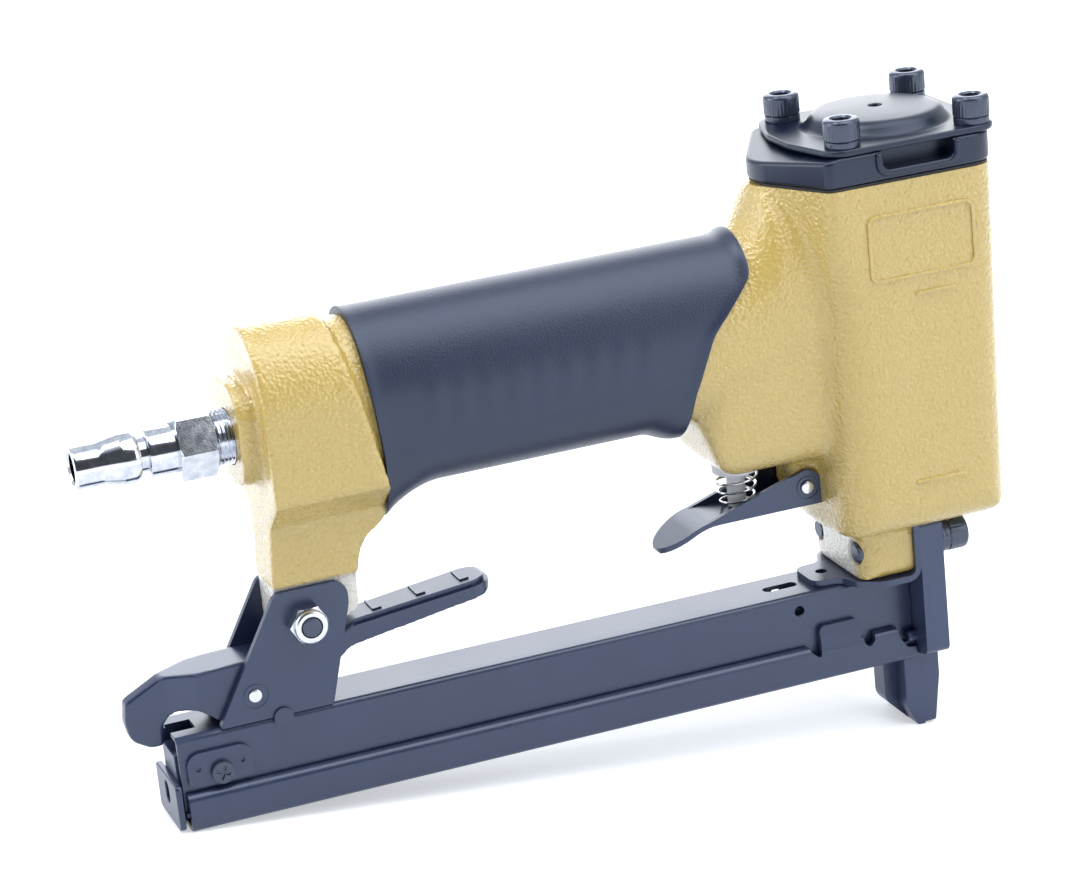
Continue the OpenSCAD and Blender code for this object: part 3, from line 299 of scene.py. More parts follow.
def finish(name, dark, light, rough, relief, metallic=0.0, specular=0.5,
           pattern=("clouds", 60.0), bump=("grain", 2500.0)):
    """A finish between two colours and two roughnesses, with a relief in metres."""
    made = bpy.data.materials.new(name)
    made.use_nodes = True
    tree = made.node_tree
    shader = tree.nodes["Principled BSDF"]
    shader.inputs["Metallic"].default_value = metallic
    shader.inputs["Specular IOR Level"].default_value = specular
    groups = {}
    for label, scale in (pattern, bump):
        groups[label] = add(tree, "ShaderNodeGroup", {"node_tree": bpy.data.node_groups[label]}, Scale=scale)
    mask = groups[pattern[0]].outputs["Pits" if pattern[0] == "pebbles" else "Value"]
    ramp = add(tree, "ShaderNodeValToRGB")
    for element, position, colour in zip(ramp.color_ramp.elements, (0.2, 0.8), (dark, light)):
        element.position = position
        element.color = linear(*colour)
    tree.links.new(mask, ramp.inputs["Fac"])
    tree.links.new(ramp.outputs["Color"], shader.inputs["Base Color"])
    spread = add(tree, "ShaderNodeMapRange", To_Min=rough[0], To_Max=rough[1])
    tree.links.new(mask, spread.inputs["Value"])
    tree.links.new(spread.outputs["Result"], shader.inputs["Roughness"])
    dents = add(tree, "ShaderNodeBump", Strength=1.0, Distance=relief)
    tree.links.new(groups[bump[0]].outputs["Height"], dents.inputs["Height"])
    tree.links.new(dents.outputs["Normal"], shader.inputs["Normal"])
    return made


hammered_gold = finish("hammered_gold", (207, 182, 107), (198, 171, 93), (0.22, 0.32), 0.0002,
                       pattern=("pebbles", 1150.0), bump=("pebbles", 1150.0))
cap_black = finish("cap_black", (12, 19, 40), (18, 26, 48), (0.28, 0.40), 0.00001, specular=0.6)
sheet_black = finish("sheet_black", (33, 41, 70), (41, 49, 78), (0.24, 0.36), 0.000012, specular=0.9)
nose_black = finish("nose_black", (44, 52, 82), (54, 62, 92), (0.28, 0.42), 0.00002, specular=0.85)
screw_black = finish("screw_black", (46, 51, 68), (58, 63, 80), (0.18, 0.30), 0.00001,
                     metallic=0.2, specular=1.0)
grip_rubber = finish("grip_rubber", (14, 23, 49), (21, 31, 58), (0.33, 0.45), 0.00003,
                     specular=0.78, bump=("pebbles", 2600.0))
seal_rubber = finish("seal_rubber", (34, 35, 40), (42, 43, 48), (0.55, 0.7), 0.00001)
bumper_rubber = finish("bumper_rubber", (190, 110, 40), (205, 125, 50), (0.4, 0.55), 0.00001)
valve_plastic = finish("valve_plastic", (208, 210, 214), (219, 221, 225), (0.35, 0.5), 0.00001)
inner_alloy = finish("inner_alloy", (176, 178, 182), (190, 192, 196), (0.3, 0.45), 0.000005, metallic=1.0)
bright_steel = finish("bright_steel", (200, 202, 206), (214, 216, 220), (0.16, 0.28), 0.000004, metallic=1.0)
chrome = finish("chrome", (168, 174, 188), (226, 229, 234), (0.05, 0.14), 0.000004, metallic=1.0,
                pattern=("clouds", 420.0))

# Black oxide and black rubber mirror the room with a blue tinge.
blue_tinge = (0.74, 0.84, 1.0, 1)
for black in (cap_black, sheet_black, nose_black, screw_black, grip_rubber):
    black.node_tree.nodes["Principled BSDF"].inputs["Specular Tint"].default_value = blue_tinge
print("materials in the file:", len(bpy.data.materials))

# %% [markdown]
# The gold paint has a clear coat, which makes the small glints. The paint ends where the casting was
# machined: on the neck's rear face and on the tongue of the leg. Masks along the object's own axes find
# those places, and a near-white is mixed in there: partly bare metal, partly a painted reflection of the
# bright light that these faces catch.


# %% Coat the paint, and paint the machined faces pale: bare metal and a painted reflection
def fade(tree, axis, none, full):
    """A mask that grows from 0 to 1 along an axis, between two places in millimetres."""
    place, split = add(tree, "ShaderNodeTexCoord"), add(tree, "ShaderNodeSeparateXYZ")
    step = add(tree, "ShaderNodeMapRange", {"interpolation_type": "SMOOTHSTEP"},
               From_Min=none * MM, From_Max=full * MM)
    tree.links.new(place.outputs["Object"], split.inputs[0])
    tree.links.new(split.outputs[axis], step.inputs["Value"])
    return step.outputs["Result"]


tree = hammered_gold.node_tree
shader = tree.nodes["Principled BSDF"]
shader.inputs["Coat Weight"].default_value = 0.9
shader.inputs["Coat Roughness"].default_value = 0.12
tree.links.new(tree.nodes["Bump"].outputs["Normal"], shader.inputs["Coat Normal"])

# The neck's rear face, below the head and away from its two edges, and the tongue below the leg. Both get
# bare metal with a painted reflection.
neck_rim = fade(tree, "X", -14.0, -17.8)
for axis, none, full in (("Z", 58, 51), ("X", -40, -30), ("Y", -12.6, -7.0), ("Y", 12.6, 7.0)):
    neck_rim = calculated(tree, "MULTIPLY", neck_rim, fade(tree, axis, none, full))
tongue = calculated(tree, "MULTIPLY", fade(tree, "X", -132, -136), fade(tree, "Z", 70, 69.2))

# A Mix node's plain and vector sockets come first, so its colours go in at 6 and 7 and come out at 2.
bare_and_glare = add(tree, "ShaderNodeMix", {"data_type": "RGBA"})
tree.links.new(tree.nodes["Color Ramp"].outputs["Color"], bare_and_glare.inputs[6])
# A near-white: bare metal, made paler to paint in the reflection that these faces show.
bare_and_glare.inputs[7].default_value = linear(228, 225, 217)
share = add(tree, "ShaderNodeMapRange", To_Max=0.95)
tree.links.new(calculated(tree, "MAXIMUM", neck_rim, tongue), share.inputs["Value"])
tree.links.new(share.outputs["Result"], bare_and_glare.inputs[0])
tree.links.new(bare_and_glare.outputs[2], shader.inputs["Base Color"])
# The pale colour on the gold paint is bare metal and a painted reflection.
print("bare metal on", hammered_gold.name)

# %% [markdown]
# ## Modelling helpers
# Pieces are drawn in millimetres, as on a drawing: an outline is pushed out into a prism, or a profile is
# spun about an axis. Booleans join and cut them. At the end a piece is scaled to metres, smoothed, and tied
# to its body.


# %% Draw and spin
def pick(*pieces):
    """Selects pieces, the first one as the active one."""
    bpy.ops.object.select_all(action="DESELECT")
    for piece in pieces:
        piece.select_set(True)
    bpy.context.view_layer.objects.active = pieces[0]


def edit(piece, kind="VERT"):
    """Opens a piece in edit mode, with all of it selected."""
    pick(piece)
    bpy.ops.object.mode_set(mode="EDIT")
    bpy.ops.mesh.select_mode(type=kind)
    bpy.ops.mesh.select_all(action="SELECT")


def leave():
    bpy.ops.object.mode_set(mode="OBJECT")


def box_mm(node):
    """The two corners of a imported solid's box, in millimetres."""
    low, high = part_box(node)
    return low / MM, high / MM


def rounded(points, steps=6):
    """An outline whose corners (u, v, radius) are rounded."""
    outline = []
    for i, point in enumerate(points):
        here, before, after = (Vector(p[:2]) for p in (point, points[i - 1], points[(i + 1) % len(points)]))
        radius = point[2] if len(point) > 2 else 0
        if not radius:
            outline.append(tuple(here))
            continue
        one, two = (before - here).normalized(), (after - here).normalized()
        half = one.angle(two) / 2
        centre = here + (one + two).normalized() * radius / math.sin(half)
        first, last = (here + way * radius / math.tan(half) - centre for way in (one, two))
        turn = first.angle_signed(last)
        for k in range(steps + 1):
            outline.append(tuple(centre + Matrix.Rotation(-turn * k / steps, 2) @ first))
    return outline


def oblong(u0, u1, v0, v1, low_radius=0, high_radius=0, steps=6):
    """A rectangle, with its two lower and its two upper corners rounded."""
    return rounded([(u0, v0, low_radius), (u1, v0, low_radius),
                    (u1, v1, high_radius), (u0, v1, high_radius)], steps)


def mirrored(points):
    """An outline and its mirror image across the tool's middle plane."""
    return list(points) + [(p[0], -p[1], *p[2:]) for p in reversed(points)]


def circle(radius, u=0.0, v=0.0, count=48):
    turns = (2 * math.pi * k / count for k in range(count))
    return [(u + radius * math.cos(a), v + radius * math.sin(a)) for a in turns]


def spot(axis, u, v, along):
    """The place of (u, v) on a drawing that is seen along an axis."""
    return {"x": (along, u, v), "y": (u, along, v), "z": (u, v, along)}[axis]


def drawn(name, outline, axis, low, high):
    """A prism of an outline along an axis: (y, z) along x, (x, z) along y, (x, y) along z."""
    bpy.ops.object.select_all(action="DESELECT")
    bpy.ops.mesh.primitive_circle_add(vertices=len(outline), fill_type="NGON")
    piece = bpy.context.object
    piece.name = name
    for vertex, (u, v) in zip(piece.data.vertices, outline):
        vertex.co = spot(axis, u, v, low)
    edit(piece, "FACE")
    bpy.ops.mesh.extrude_region_move(TRANSFORM_OT_translate={"value": spot(axis, 0, 0, high - low)})
    bpy.ops.mesh.select_all(action="SELECT")
    bpy.ops.mesh.normals_make_consistent(inside=False)
    leave()
    return piece


def spun(name, profile, steps=64):
    """A closed profile of (radius, height) spun about the Z axis."""
    bpy.ops.object.select_all(action="DESELECT")
    bpy.ops.mesh.primitive_circle_add(vertices=len(profile), fill_type="NOTHING")
    piece = bpy.context.object
    piece.name = name
    for vertex, (radius, height) in zip(piece.data.vertices, profile):
        vertex.co = (radius, 0, height)
    edit(piece)
    bpy.ops.mesh.spin(steps=steps, angle=2 * math.pi, center=(0, 0, 0), axis=(0, 0, 1))
    bpy.ops.mesh.select_all(action="SELECT")
    bpy.ops.mesh.remove_doubles(threshold=0.0005)
    bpy.ops.mesh.dissolve_degenerate(threshold=0.0002)
    bpy.ops.mesh.select_all(action="SELECT")
    bpy.ops.mesh.normals_make_consistent(inside=False)
    leave()
    return piece


def rod(name, radius, low, high):
    """A plain cylinder about the Z axis."""
    return spun(name, oblong(0, radius, low, high))


def lofted(name, rings, closed=True):
    """A skin over rings of points, from the first ring to the last."""
    count = len(rings[0])
    bpy.ops.object.select_all(action="DESELECT")
    bpy.ops.mesh.primitive_grid_add(x_subdivisions=len(rings) - 1, y_subdivisions=count, size=2)
    piece = bpy.context.object
    piece.name = name
    for vertex in piece.data.vertices:
        row = round((vertex.co.x + 1) / 2 * (len(rings) - 1))
        vertex.co = rings[row][round((vertex.co.y + 1) / 2 * count) % count]
    edit(piece)
    bpy.ops.mesh.remove_doubles(threshold=0.0005)
    if closed:
        bpy.ops.mesh.select_all(action="DESELECT")
        bpy.ops.mesh.select_non_manifold()
        bpy.ops.mesh.fill_holes(sides=0)
        bpy.ops.mesh.select_all(action="SELECT")
    bpy.ops.mesh.normals_make_consistent(inside=False)
    leave()
    return piece


def ease(value, low, high):
    """0 below low, 1 above high, and a smooth step between."""
    t = min(max((value - low) / (high - low), 0), 1)
    return t * t * (3 - 2 * t)


print("an oblong with four round corners has", len(oblong(0, 10, 0, 10, 2, 2)), "points")


# %% Join, cut and round
def modify(piece, kind, **settings):
    """Adds a modifier and applies it."""
    pick(piece)
    step = piece.modifiers.new(kind.lower(), kind)
    for name, value in settings.items():
        setattr(step, name, value)
    bpy.ops.object.modifier_apply(modifier=step.name)


def combine(piece, tool, operation):
    """A boolean with a second piece, which is used up."""
    modify(piece, "BOOLEAN", operation=operation, object=tool, solver="MANIFOLD")
    bpy.data.objects.remove(tool, do_unlink=True)
    if not piece.data.vertices:
        raise RuntimeError(f"{piece.name}: the boolean left nothing")
    return piece


def cut(piece, tool):
    return combine(piece, tool, "DIFFERENCE")


def fuse(piece, tool):
    return combine(piece, tool, "UNION")


# Half the length, in millimetres, of a tool that reaches right through the part.
wide = 40.0


def pierce(piece, name, outline, axis, low=-wide, high=wide):
    """Cuts a hole with the shape of an outline along an axis, right through if no depth is given."""
    return cut(piece, drawn(name, outline, axis, low, high))


def trim(piece, name, outline, axis, low=-wide, high=wide):
    """Keeps only what lies inside an outline, seen along an axis."""
    return combine(piece, drawn(name, outline, axis, low, high), "INTERSECT")


def join(name, pieces):
    """Several pieces as one object."""
    pick(*pieces)
    if len(pieces) > 1:
        bpy.ops.object.join()
    pieces[0].name = name
    return pieces[0]


def bevelled(piece, width, segments=2, angle=30):
    """Rounds every edge that is sharper than an angle."""
    modify(piece, "BEVEL", width=width, segments=segments, limit_method="ANGLE",
           angle_limit=math.radians(angle), use_clamp_overlap=True, miter_outer="MITER_ARC")
    return piece


def round_edges(piece, chosen, width, segments=4):
    """Rounds the edges whose two ends pass a test."""
    edit(piece, "EDGE")
    bpy.ops.mesh.select_all(action="DESELECT")
    leave()
    points = piece.data.vertices
    for edge in piece.data.edges:
        edge.select = all(chosen(points[i].co) for i in edge.vertices)
    bpy.ops.object.mode_set(mode="EDIT")
    bpy.ops.mesh.bevel(offset=width, segments=segments, affect="EDGES", clamp_overlap=True)
    leave()


def tidy(piece, angle=1.0, merge=0.001):
    """Merges double points and dissolves the edges inside flat faces."""
    edit(piece)
    bpy.ops.mesh.remove_doubles(threshold=merge)
    bpy.ops.mesh.dissolve_limited(angle_limit=math.radians(angle))
    leave()
    return piece


def copy_of(node, name):
    """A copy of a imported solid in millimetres, with its triangles merged into faces."""
    piece = bpy.data.objects.new(name, frame["nodes"][node].data.copy())
    bpy.context.scene.collection.objects.link(piece)
    piece.data.transform(Matrix.Scale(1 / MM, 4))
    return tidy(piece)


def at(x, y, z):
    """A move from the origin to a place."""
    return Matrix.Translation((x, y, z))


def turned(degrees, axis):
    """A turn about one of the axes."""
    return Matrix.Rotation(math.radians(degrees), 4, axis)


def moved(piece, place):
    piece.data.transform(place)
    return piece


def copies(name, model, places):
    """The model, copied to each place with its own mesh, as one piece."""
    made = []
    for place in places:
        other = model.copy()
        other.data = model.data.copy()
        bpy.context.scene.collection.objects.link(other)
        made.append(moved(other, place))
    bpy.data.objects.remove(model, do_unlink=True)
    return join(name, made)


def done(piece, surface, slot, *nodes, smooth=32, flat=True):
    """Scales a piece to metres, smooths it, paints it, and ties it to its body."""
    pick(piece)
    piece.scale = (MM, MM, MM)
    bpy.ops.object.transform_apply(location=True, rotation=True, scale=True)
    bpy.ops.object.shade_smooth_by_angle(angle=math.radians(smooth))
    if flat:
        modify(piece, "WEIGHTED_NORMAL", keep_sharp=True, weight=80)
    piece.data.materials.clear()
    piece.data.materials.append(surface)
    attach(piece, body_of[nodes[0]])
    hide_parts(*nodes)
    print(piece.name, len(piece.data.polygons), "faces for", ", ".join(nodes))


# %% [markdown]
# ## The gold casting
# Head, neck, handle and rear block are one die casting, so they run into each other in soft fillets. Bevels
# can't make fillets between shapes that only meet, so drawn shapes give the main forms, a voxel remesh melts
# them into one skin, and smoothing rounds the edges. The machined faces and the recess of the grip are cut
# afterwards, so they stay crisp.


# %% Draw the head
body_low, body_high = box_mm("gun_body")
half, front, head_top = body_high.y, body_high.x, body_high.z
head_low, head_rear, apex = 54.0, -22.5, -33.9
spare = 4.0
crown = head_top + spare


def head_plan(z):
    """The head seen from above: a pointed back under the cap, and round corners from the handle down."""
    lower = 1 - ease(z, 106, 134)
    lean_back = 1.8 * max(head_top - z, 0) / (head_top - head_low)
    corner, tip = 2.5 + 5.5 * lower, apex + 9.5 * lower
    return rounded([(front - lean_back, half, 6), (head_rear, half, corner), (tip, 0, 12),
                    (head_rear, -half, corner), (front - lean_back, -half, 6)])


levels = [head_low, 80, 100] + [104 + 2 * k for k in range(16)] + [crown]
head = lofted("head", [[(x, y, z) for x, y in head_plan(z)] for z in levels])
head_side = rounded([(front + 1, crown + 1), (front - 0.8, head_low, 9), (apex - 5, head_low),
                     (apex - 5, crown + 1)], 8)
trim(head, "head_side", head_side, "y")
trim(head, "head_front", oblong(-half, half, head_low, crown + 1, 6, 0, 8), "x")
cap_plan = head_plan(head_top)
print("head:", len(head.data.polygons), "faces")


# %% Draw the flank, the belly and the neck
grip_low, grip_high = box_mm("handle_grip")
handle_z, handle_top, handle_w = grip_low.z, grip_high.z, 2 * grip_high.y
handle_mid = (handle_z + handle_top) / 2
grip_low_x, grip_top_x = -57.5, -41.0
flank_rear, belly_front, belly_z, belly_w, belly_top_w = -62, -18, 73.0, 27.0, 29.4
neck_front, neck_rear, neck_z, neck_half = -4.76, -18.16, body_low.z, 14.0


def handle_section(width, low, high, steps=24):
    """Arched top, flat sides and a rounder bottom, as (y, z)."""
    top, bottom = 0.46 * (high - low), 0.36 * (high - low)
    turns = [math.pi * k / steps for k in range(steps + 1)]
    upper = [(width / 2 * math.cos(a), high - top + top * math.sin(a)) for a in turns]
    return upper + [(-width / 2 * math.cos(a), low + bottom - bottom * math.sin(a)) for a in turns]


flare = []
for k in range(34):
    x = flank_rear + 0.9 * k
    rise = 10.8 * min(max((x + 42.4) / 9.5, 0), 1) ** 2.2
    section = handle_section(handle_w - 1, handle_z + 0.5, handle_top - 0.2 + rise)
    flare.append([(x, y, z) for y, z in section])
flank = lofted("flank", flare + [[(-16, y, z) for _, y, z in flare[-1]]])
band = drawn("band", handle_section(handle_w - 3, handle_z + 1.6, handle_top - 1.5), "x", -150, -110)
belly = drawn("belly", rounded([(-belly_w / 2, belly_z, 7), (belly_w / 2, belly_z, 7),
                                (belly_top_w / 2, handle_z + 13), (-belly_top_w / 2, handle_z + 13)]),
              "x", flank_rear, belly_front)
belly_side = rounded([(grip_low_x + 1.4, handle_z + 6), (grip_low_x + 7.6, belly_z, 8), (-20.5, belly_z),
                      (-20.5, handle_z + 12), (grip_low_x + 1.4, handle_z + 12)])
trim(belly, "belly_side", belly_side, "y")
trim(belly, "belly_plan", rounded(mirrored([(belly_front, 14.8), (grip_low_x, 14.8, 11)])), "z", 60, 110)
neck_plan = rounded(mirrored([(neck_front + 4, neck_half), (neck_rear + 0.6, neck_half, 4),
                              (neck_rear, neck_half - 6, 1)]))
neck = drawn("neck", neck_plan, "z", neck_z, head_low + 4)
trim(neck, "neck_edge", oblong(-neck_half, neck_half, neck_z, head_low + 5, 2.2), "x")
print("handle from", round(handle_z, 1), "to", round(handle_top, 1), "mm high")

# %% Draw the rear block, its boss and the lug
bolt_x, bolt_z, leg_z, leg_half, tongue_half = -151.5, 61.0, 69.5, 7.2, 5.9
tongue_z, block_front = 54.4, -124
block_rear, boss_rear, plug_z, boss_r = -157.0, body_low.x, 104.8, 11.0
pin_x, pin_z, lug_half, lug_r = -27.4, 66.0, 5.3, 3.0
block_side = rounded([
    (block_rear, handle_top + 1), (-138.5, handle_top + 1), (-129.8, handle_z + 2.6, 4),
    (-130.0, handle_z - 4.5, 3), (bolt_x + 15, leg_z + 7, 10), (bolt_x + 13.6, leg_z),
    (bolt_x + 13.2, 60.5, 2), (bolt_x + 5, 57, 3), (bolt_x, tongue_z, 3), (block_rear - 1, tongue_z, 5),
    (block_rear - 1, leg_z), (block_rear, handle_z - 0.5)])
arch = [p for p in handle_section(handle_w, handle_z, handle_top + 0.4) if p[1] > handle_mid - 2]
leg = [(-handle_w / 2, handle_z + 5.2), (-leg_half - 0.8, handle_z - 1.8), (-leg_half, leg_z),
       (-tongue_half, leg_z), (-tongue_half, 53)]
block_section = arch + leg + [(-u, v) for u, v in reversed(leg)]
block = drawn("block", block_section, "x", block_rear - 1, block_front)
trim(block, "block_side", block_side, "y")
boss_view = oblong(-boss_r, boss_r, plug_z - boss_r, plug_z + boss_r + 1.8, 9, 8, 12)
boss = drawn("boss", boss_view, "x", boss_rear, block_rear + 6)
lug_view = rounded([(pin_x - lug_r, belly_z + 3), (pin_x - lug_r, pin_z - lug_r, 2.9),
                    (pin_x + lug_r, pin_z - lug_r, 2.9), (pin_x + lug_r, belly_z + 3)])
lug = drawn("lug", lug_view, "y", -lug_half, lug_half)
casting = join("gun_body_casting", [head, flank, band, belly, neck, block, boss, lug])
print("casting:", len(casting.data.vertices), "points before the remesh")


# %% Melt the shapes into one skin
def softened(piece, name, weight_at, rounds):
    """Smooths a piece in the places where a weight is above zero."""
    group = piece.vertex_groups.new(name=name)
    for vertex in piece.data.vertices:
        weight = weight_at(vertex.co)
        if weight > 0:
            group.add([vertex.index], weight, "REPLACE")
    modify(piece, "SMOOTH", factor=0.5, iterations=rounds, vertex_group=name)


def shoulder_weight(p):
    """Where the handle runs into the head, and where the head runs into the neck."""
    shoulder = ease(p.x, -46, -37) * ease(-p.x, 10, 17) * ease(p.z, 64, 74) * ease(-p.z, -134, -126)
    return max(shoulder, ease(-p.x, 5, 7) * ease(p.x, -60, -50) * ease(p.z, 48, 52) * ease(-p.z, -68, -60))


def keel_weight(p):
    """The rear underside of the belly."""
    return ease(-p.x, 38, 48) * ease(p.x, -66, -62) * ease(-p.z, -92, -84)


voxel = 0.7
modify(casting, "REMESH", mode="VOXEL", voxel_size=voxel)
modify(casting, "SMOOTH", factor=0.5, iterations=6)
softened(casting, "shoulder", shoulder_weight, 60)
softened(casting, "keel", keel_weight, 50)
print("casting:", len(casting.data.polygons), "faces after the remesh")

# %% [markdown]
# ## The rubber grip
# The grip is a sleeve over the handle. Its front edge runs in an S and its rear edge slopes, so a plain
# extrusion can't give it. A grid is rolled round the handle's section instead, and each row runs from the
# rear edge to the front one. The ends flare into lips, and a row of soft bumps fits the fingers.

# %% Roll the grip
rows, around = 96, 132
# The front edge's last point only closes its outline, and is dropped.
front_edge = rounded([
    (grip_top_x + 1.5, handle_top + 4), (grip_top_x + 1.5, handle_top - 7.3, 5),
    (grip_low_x + 6.6, handle_mid + 2.7, 14), (grip_low_x + 1.2, handle_z + 11, 10),
    (grip_low_x - 0.7, handle_z), (grip_low_x - 2, handle_z - 6), (0, 0)], 12)[:-1]
rear_edge = [(-133.6, handle_top + 4), (-132.9, handle_mid + 9), (-130.9, handle_z + 10),
             (-129.7, handle_z), (-129.9, handle_z - 6)]


def edge_x(edge, z):
    """Where an edge, drawn from the top down, is at a height."""
    for (x0, z0), (x1, z1) in zip(edge, edge[1:]):
        if z1 <= z <= z0:
            return x0 + (x1 - x0) * (z0 - z) / (z0 - z1)
    return edge[-1][0]


def hill(distance, reach):
    """A soft bump that is 1 at its top."""
    return math.exp(-(distance / reach) ** 2)


gap, wall = 0.15, 2.4
bump_high, bumps = 0.42, [-118 + 6.4 * k for k in range(9)]
half_w, half_h = handle_w / 2, (handle_top - handle_z) / 2
sleeve = []
for row in range(rows + 1):
    share = (1 - math.cos(math.pi * row / rows)) / 2
    sleeve.append([])
    for y, z in handle_section(handle_w, handle_z, handle_top, around // 2 - 1):
        rear, fore = edge_x(rear_edge, z) + gap, edge_x(front_edge, z) - gap
        x = rear + share * (fore - rear)
        # A thin lip at the rear, a thicker one at the front, and the bumps between them.
        swell = 0.2 * hill(x - rear, 1.6) + (0.3 + 0.9 * ease(z, 116, 128)) * hill(fore - x, 2.2)
        swell += bump_high * sum(hill(x - b, 2.1) for b in bumps) * hill(z - handle_mid + 1, 4.5)
        out = Vector((y / half_w ** 2, (z - handle_mid) / half_h ** 2)).normalized()
        sleeve[-1].append((x, y + out.x * swell, z + out.y * swell))
grip = lofted("handle_grip_rubber", sleeve, closed=False)
lining = grip.vertex_groups.new(name="lining")
modify(grip, "SOLIDIFY", thickness=wall, offset=-1, shell_vertex_group="lining")
print("grip:", len(grip.data.polygons), "faces before its lips")

# %% Flare the grip's lower lips
rear_drop, rear_reach, front_drop = 5.8, 14, 2.2
for vertex in grip.data.vertices:
    if not any(member.group == lining.index and member.weight > 0.5 for member in vertex.groups):
        x, _, z = vertex.co
        to_rear = min(max(x - edge_x(rear_edge, z), 0) / rear_reach, 1)
        to_front = edge_x(front_edge, z) - x
        drop = rear_drop * (1 - to_rear) ** 1.9 + front_drop * ease(9 - to_front, 0, 7.5)
        vertex.co.z -= drop * ease(handle_mid - z, 8, 21)
bevelled(grip, 0.5, 3, 50)
done(grip, grip_rubber, "grip_rubber", "handle_grip", smooth=50, flat=False)

# %% [markdown]
# Back on the casting, the machined faces, the bores and the grip's recess are cut. The recess is the grip's
# own shape, so the rubber sits in it without a gap.

# %% Cut the machined faces and bores
edit(casting)
bpy.ops.mesh.bisect(plane_co=(0, 0, head_top), plane_no=(0, 0, 1), use_fill=True, clear_outer=True)
leave()
pierce(casting, "neck_face", oblong(neck_front, 40, 20, head_low - 0.2), "y")
recess = grip.copy()
recess.data = grip.data.copy()
bpy.context.scene.collection.objects.link(recess)
cut(casting, moved(recess, Matrix.Scale(1 / MM, 4)))
bore = [(0, 60), (15.53, 60), (15.53, 74.1), (17, 74.1), (17, 119.1), (17.9, 119.1), (17.9, 150), (0, 150)]
cut(casting, spun("bore", bore))
pierce(casting, "chamber", circle(10, 0, handle_mid), "x", block_rear + 8, -15)
pierce(casting, "inlet", circle(6.53, 0, plug_z), "x", boss_rear - 2, block_rear + 9)
stem_x = -42.5
valve_hole = [(0, 60), (5.6, 60), (5.6, 78), (7.03, 78), (7.03, handle_mid), (0, handle_mid)]
cut(casting, moved(spun("valve_hole", valve_hole), at(stem_x, 0, 0)))
pierce(casting, "blade_slot", oblong(-1.75, -0.25, -6.45, 6.45), "z", 53, 61)
pierce(casting, "pin_hole", circle(1.63, pin_x, pin_z, 24), "y")
pierce(casting, "bolt_hole", circle(2.7, bolt_x, bolt_z, 32), "y")
front_spots = [(side * 10.2, 48.3) for side in (-1, 1)]
for y, z in front_spots:
    pierce(casting, "screw_hole", circle(2.53, y, z, 32), "x", -wide, 0)
    sink = spun("countersink", [(0, -1.5), (4.6, -1.5), (2.5, 1.1), (0, 1.1)])
    cut(casting, moved(sink, at(neck_rear, y, z) @ turned(90, "Y")))
print("casting:", len(casting.data.polygons), "faces after the cuts")

# %% [markdown]
# The flat sides of the head carry a raised frame and two short bars. They are thin ribs of the mould, so they
# are drawn as prisms and fused on.

# %% Raise the frame and bars on the head's sides
rib, proud = 0.8, 0.45
panel_rear, panel_front, panel_low, panel_high = -14, 13, 116, 132
for side in (-1, 1):
    low, high = sorted((side * (half - 1), side * (half + proud)))
    panel = drawn("panel", oblong(panel_rear, panel_front, panel_low, panel_high, 2.2, 2.2), "y", low, high)
    opening = oblong(panel_rear + rib, panel_front - rib, panel_low + rib, panel_high - rib, 1.6, 1.6)
    pierce(panel, "opening", opening, "y")
    fuse(casting, bevelled(panel, 0.2))
    for x0, x1, z in ((-3, 7, 111.6), (-6, 6.6, 66.3)):
        bar = drawn("bar", oblong(x0, x1, z, z + rib), "y", low, high)
        fuse(casting, bevelled(bar, 0.2))
done(casting, hammered_gold, "gold_casting", "gun_body", smooth=40, flat=False)

# %% [markdown]
# ## The cap and its cover
# The cap closes the cylinder. Its rear shoulder slopes down, and a U-shaped notch with a thick lip lets the
# exhaust out on the near side. Its outline is the head's own plan, so a prism with trimmed faces gives it.

# %% Make the cap
cap_low, cap_high = box_mm("cylinder_cap")
cap = drawn("cylinder_cap_casting", cap_plan, "z", cap_low.z, cap_high.z)
slope = [(-19, cap_high.z + 1), (-19, cap_high.z), (apex - 1, cap_high.z - 2.4), (apex - 1, cap_high.z + 1)]
pierce(cap, "slope", slope, "y")
tidy(cap, 0.5)
bevelled(cap, 0.9, 3, 40)
notch_low, notch_half, lip_wall = cap_low.z + 2.6, 9, 1.6
lip_low, lip_half = notch_low - lip_wall, notch_half + lip_wall
notch = rounded([(-notch_half, cap_high.z + 1), (-notch_half, notch_low, 2), (notch_half, notch_low, 2),
                 (notch_half, cap_high.z + 1)])
lip = rounded([(-lip_half, cap_high.z - 0.4), (-lip_half, lip_low, 3), (lip_half, lip_low, 3),
               (lip_half, cap_high.z - 0.4)])
pierce(cap, "notch", notch, "y", -half - 3, -17.0)
rim = pierce(drawn("lip", lip, "y", -half - 0.8, -half + 1.6), "mouth", notch, "y")
fuse(cap, bevelled(rim, 0.6, 4, 50))
cut(cap, rod("hollow", 15.5, cap_low.z - 1, cap_low.z + 4.2))
done(cap, cap_black, "cap_black", "cylinder_cap")

# %% [markdown]
# The cover on the cap is a plate with a pressed dome. The dome is a turned shape, so its profile is spun and
# fused into a round hole of the plate.

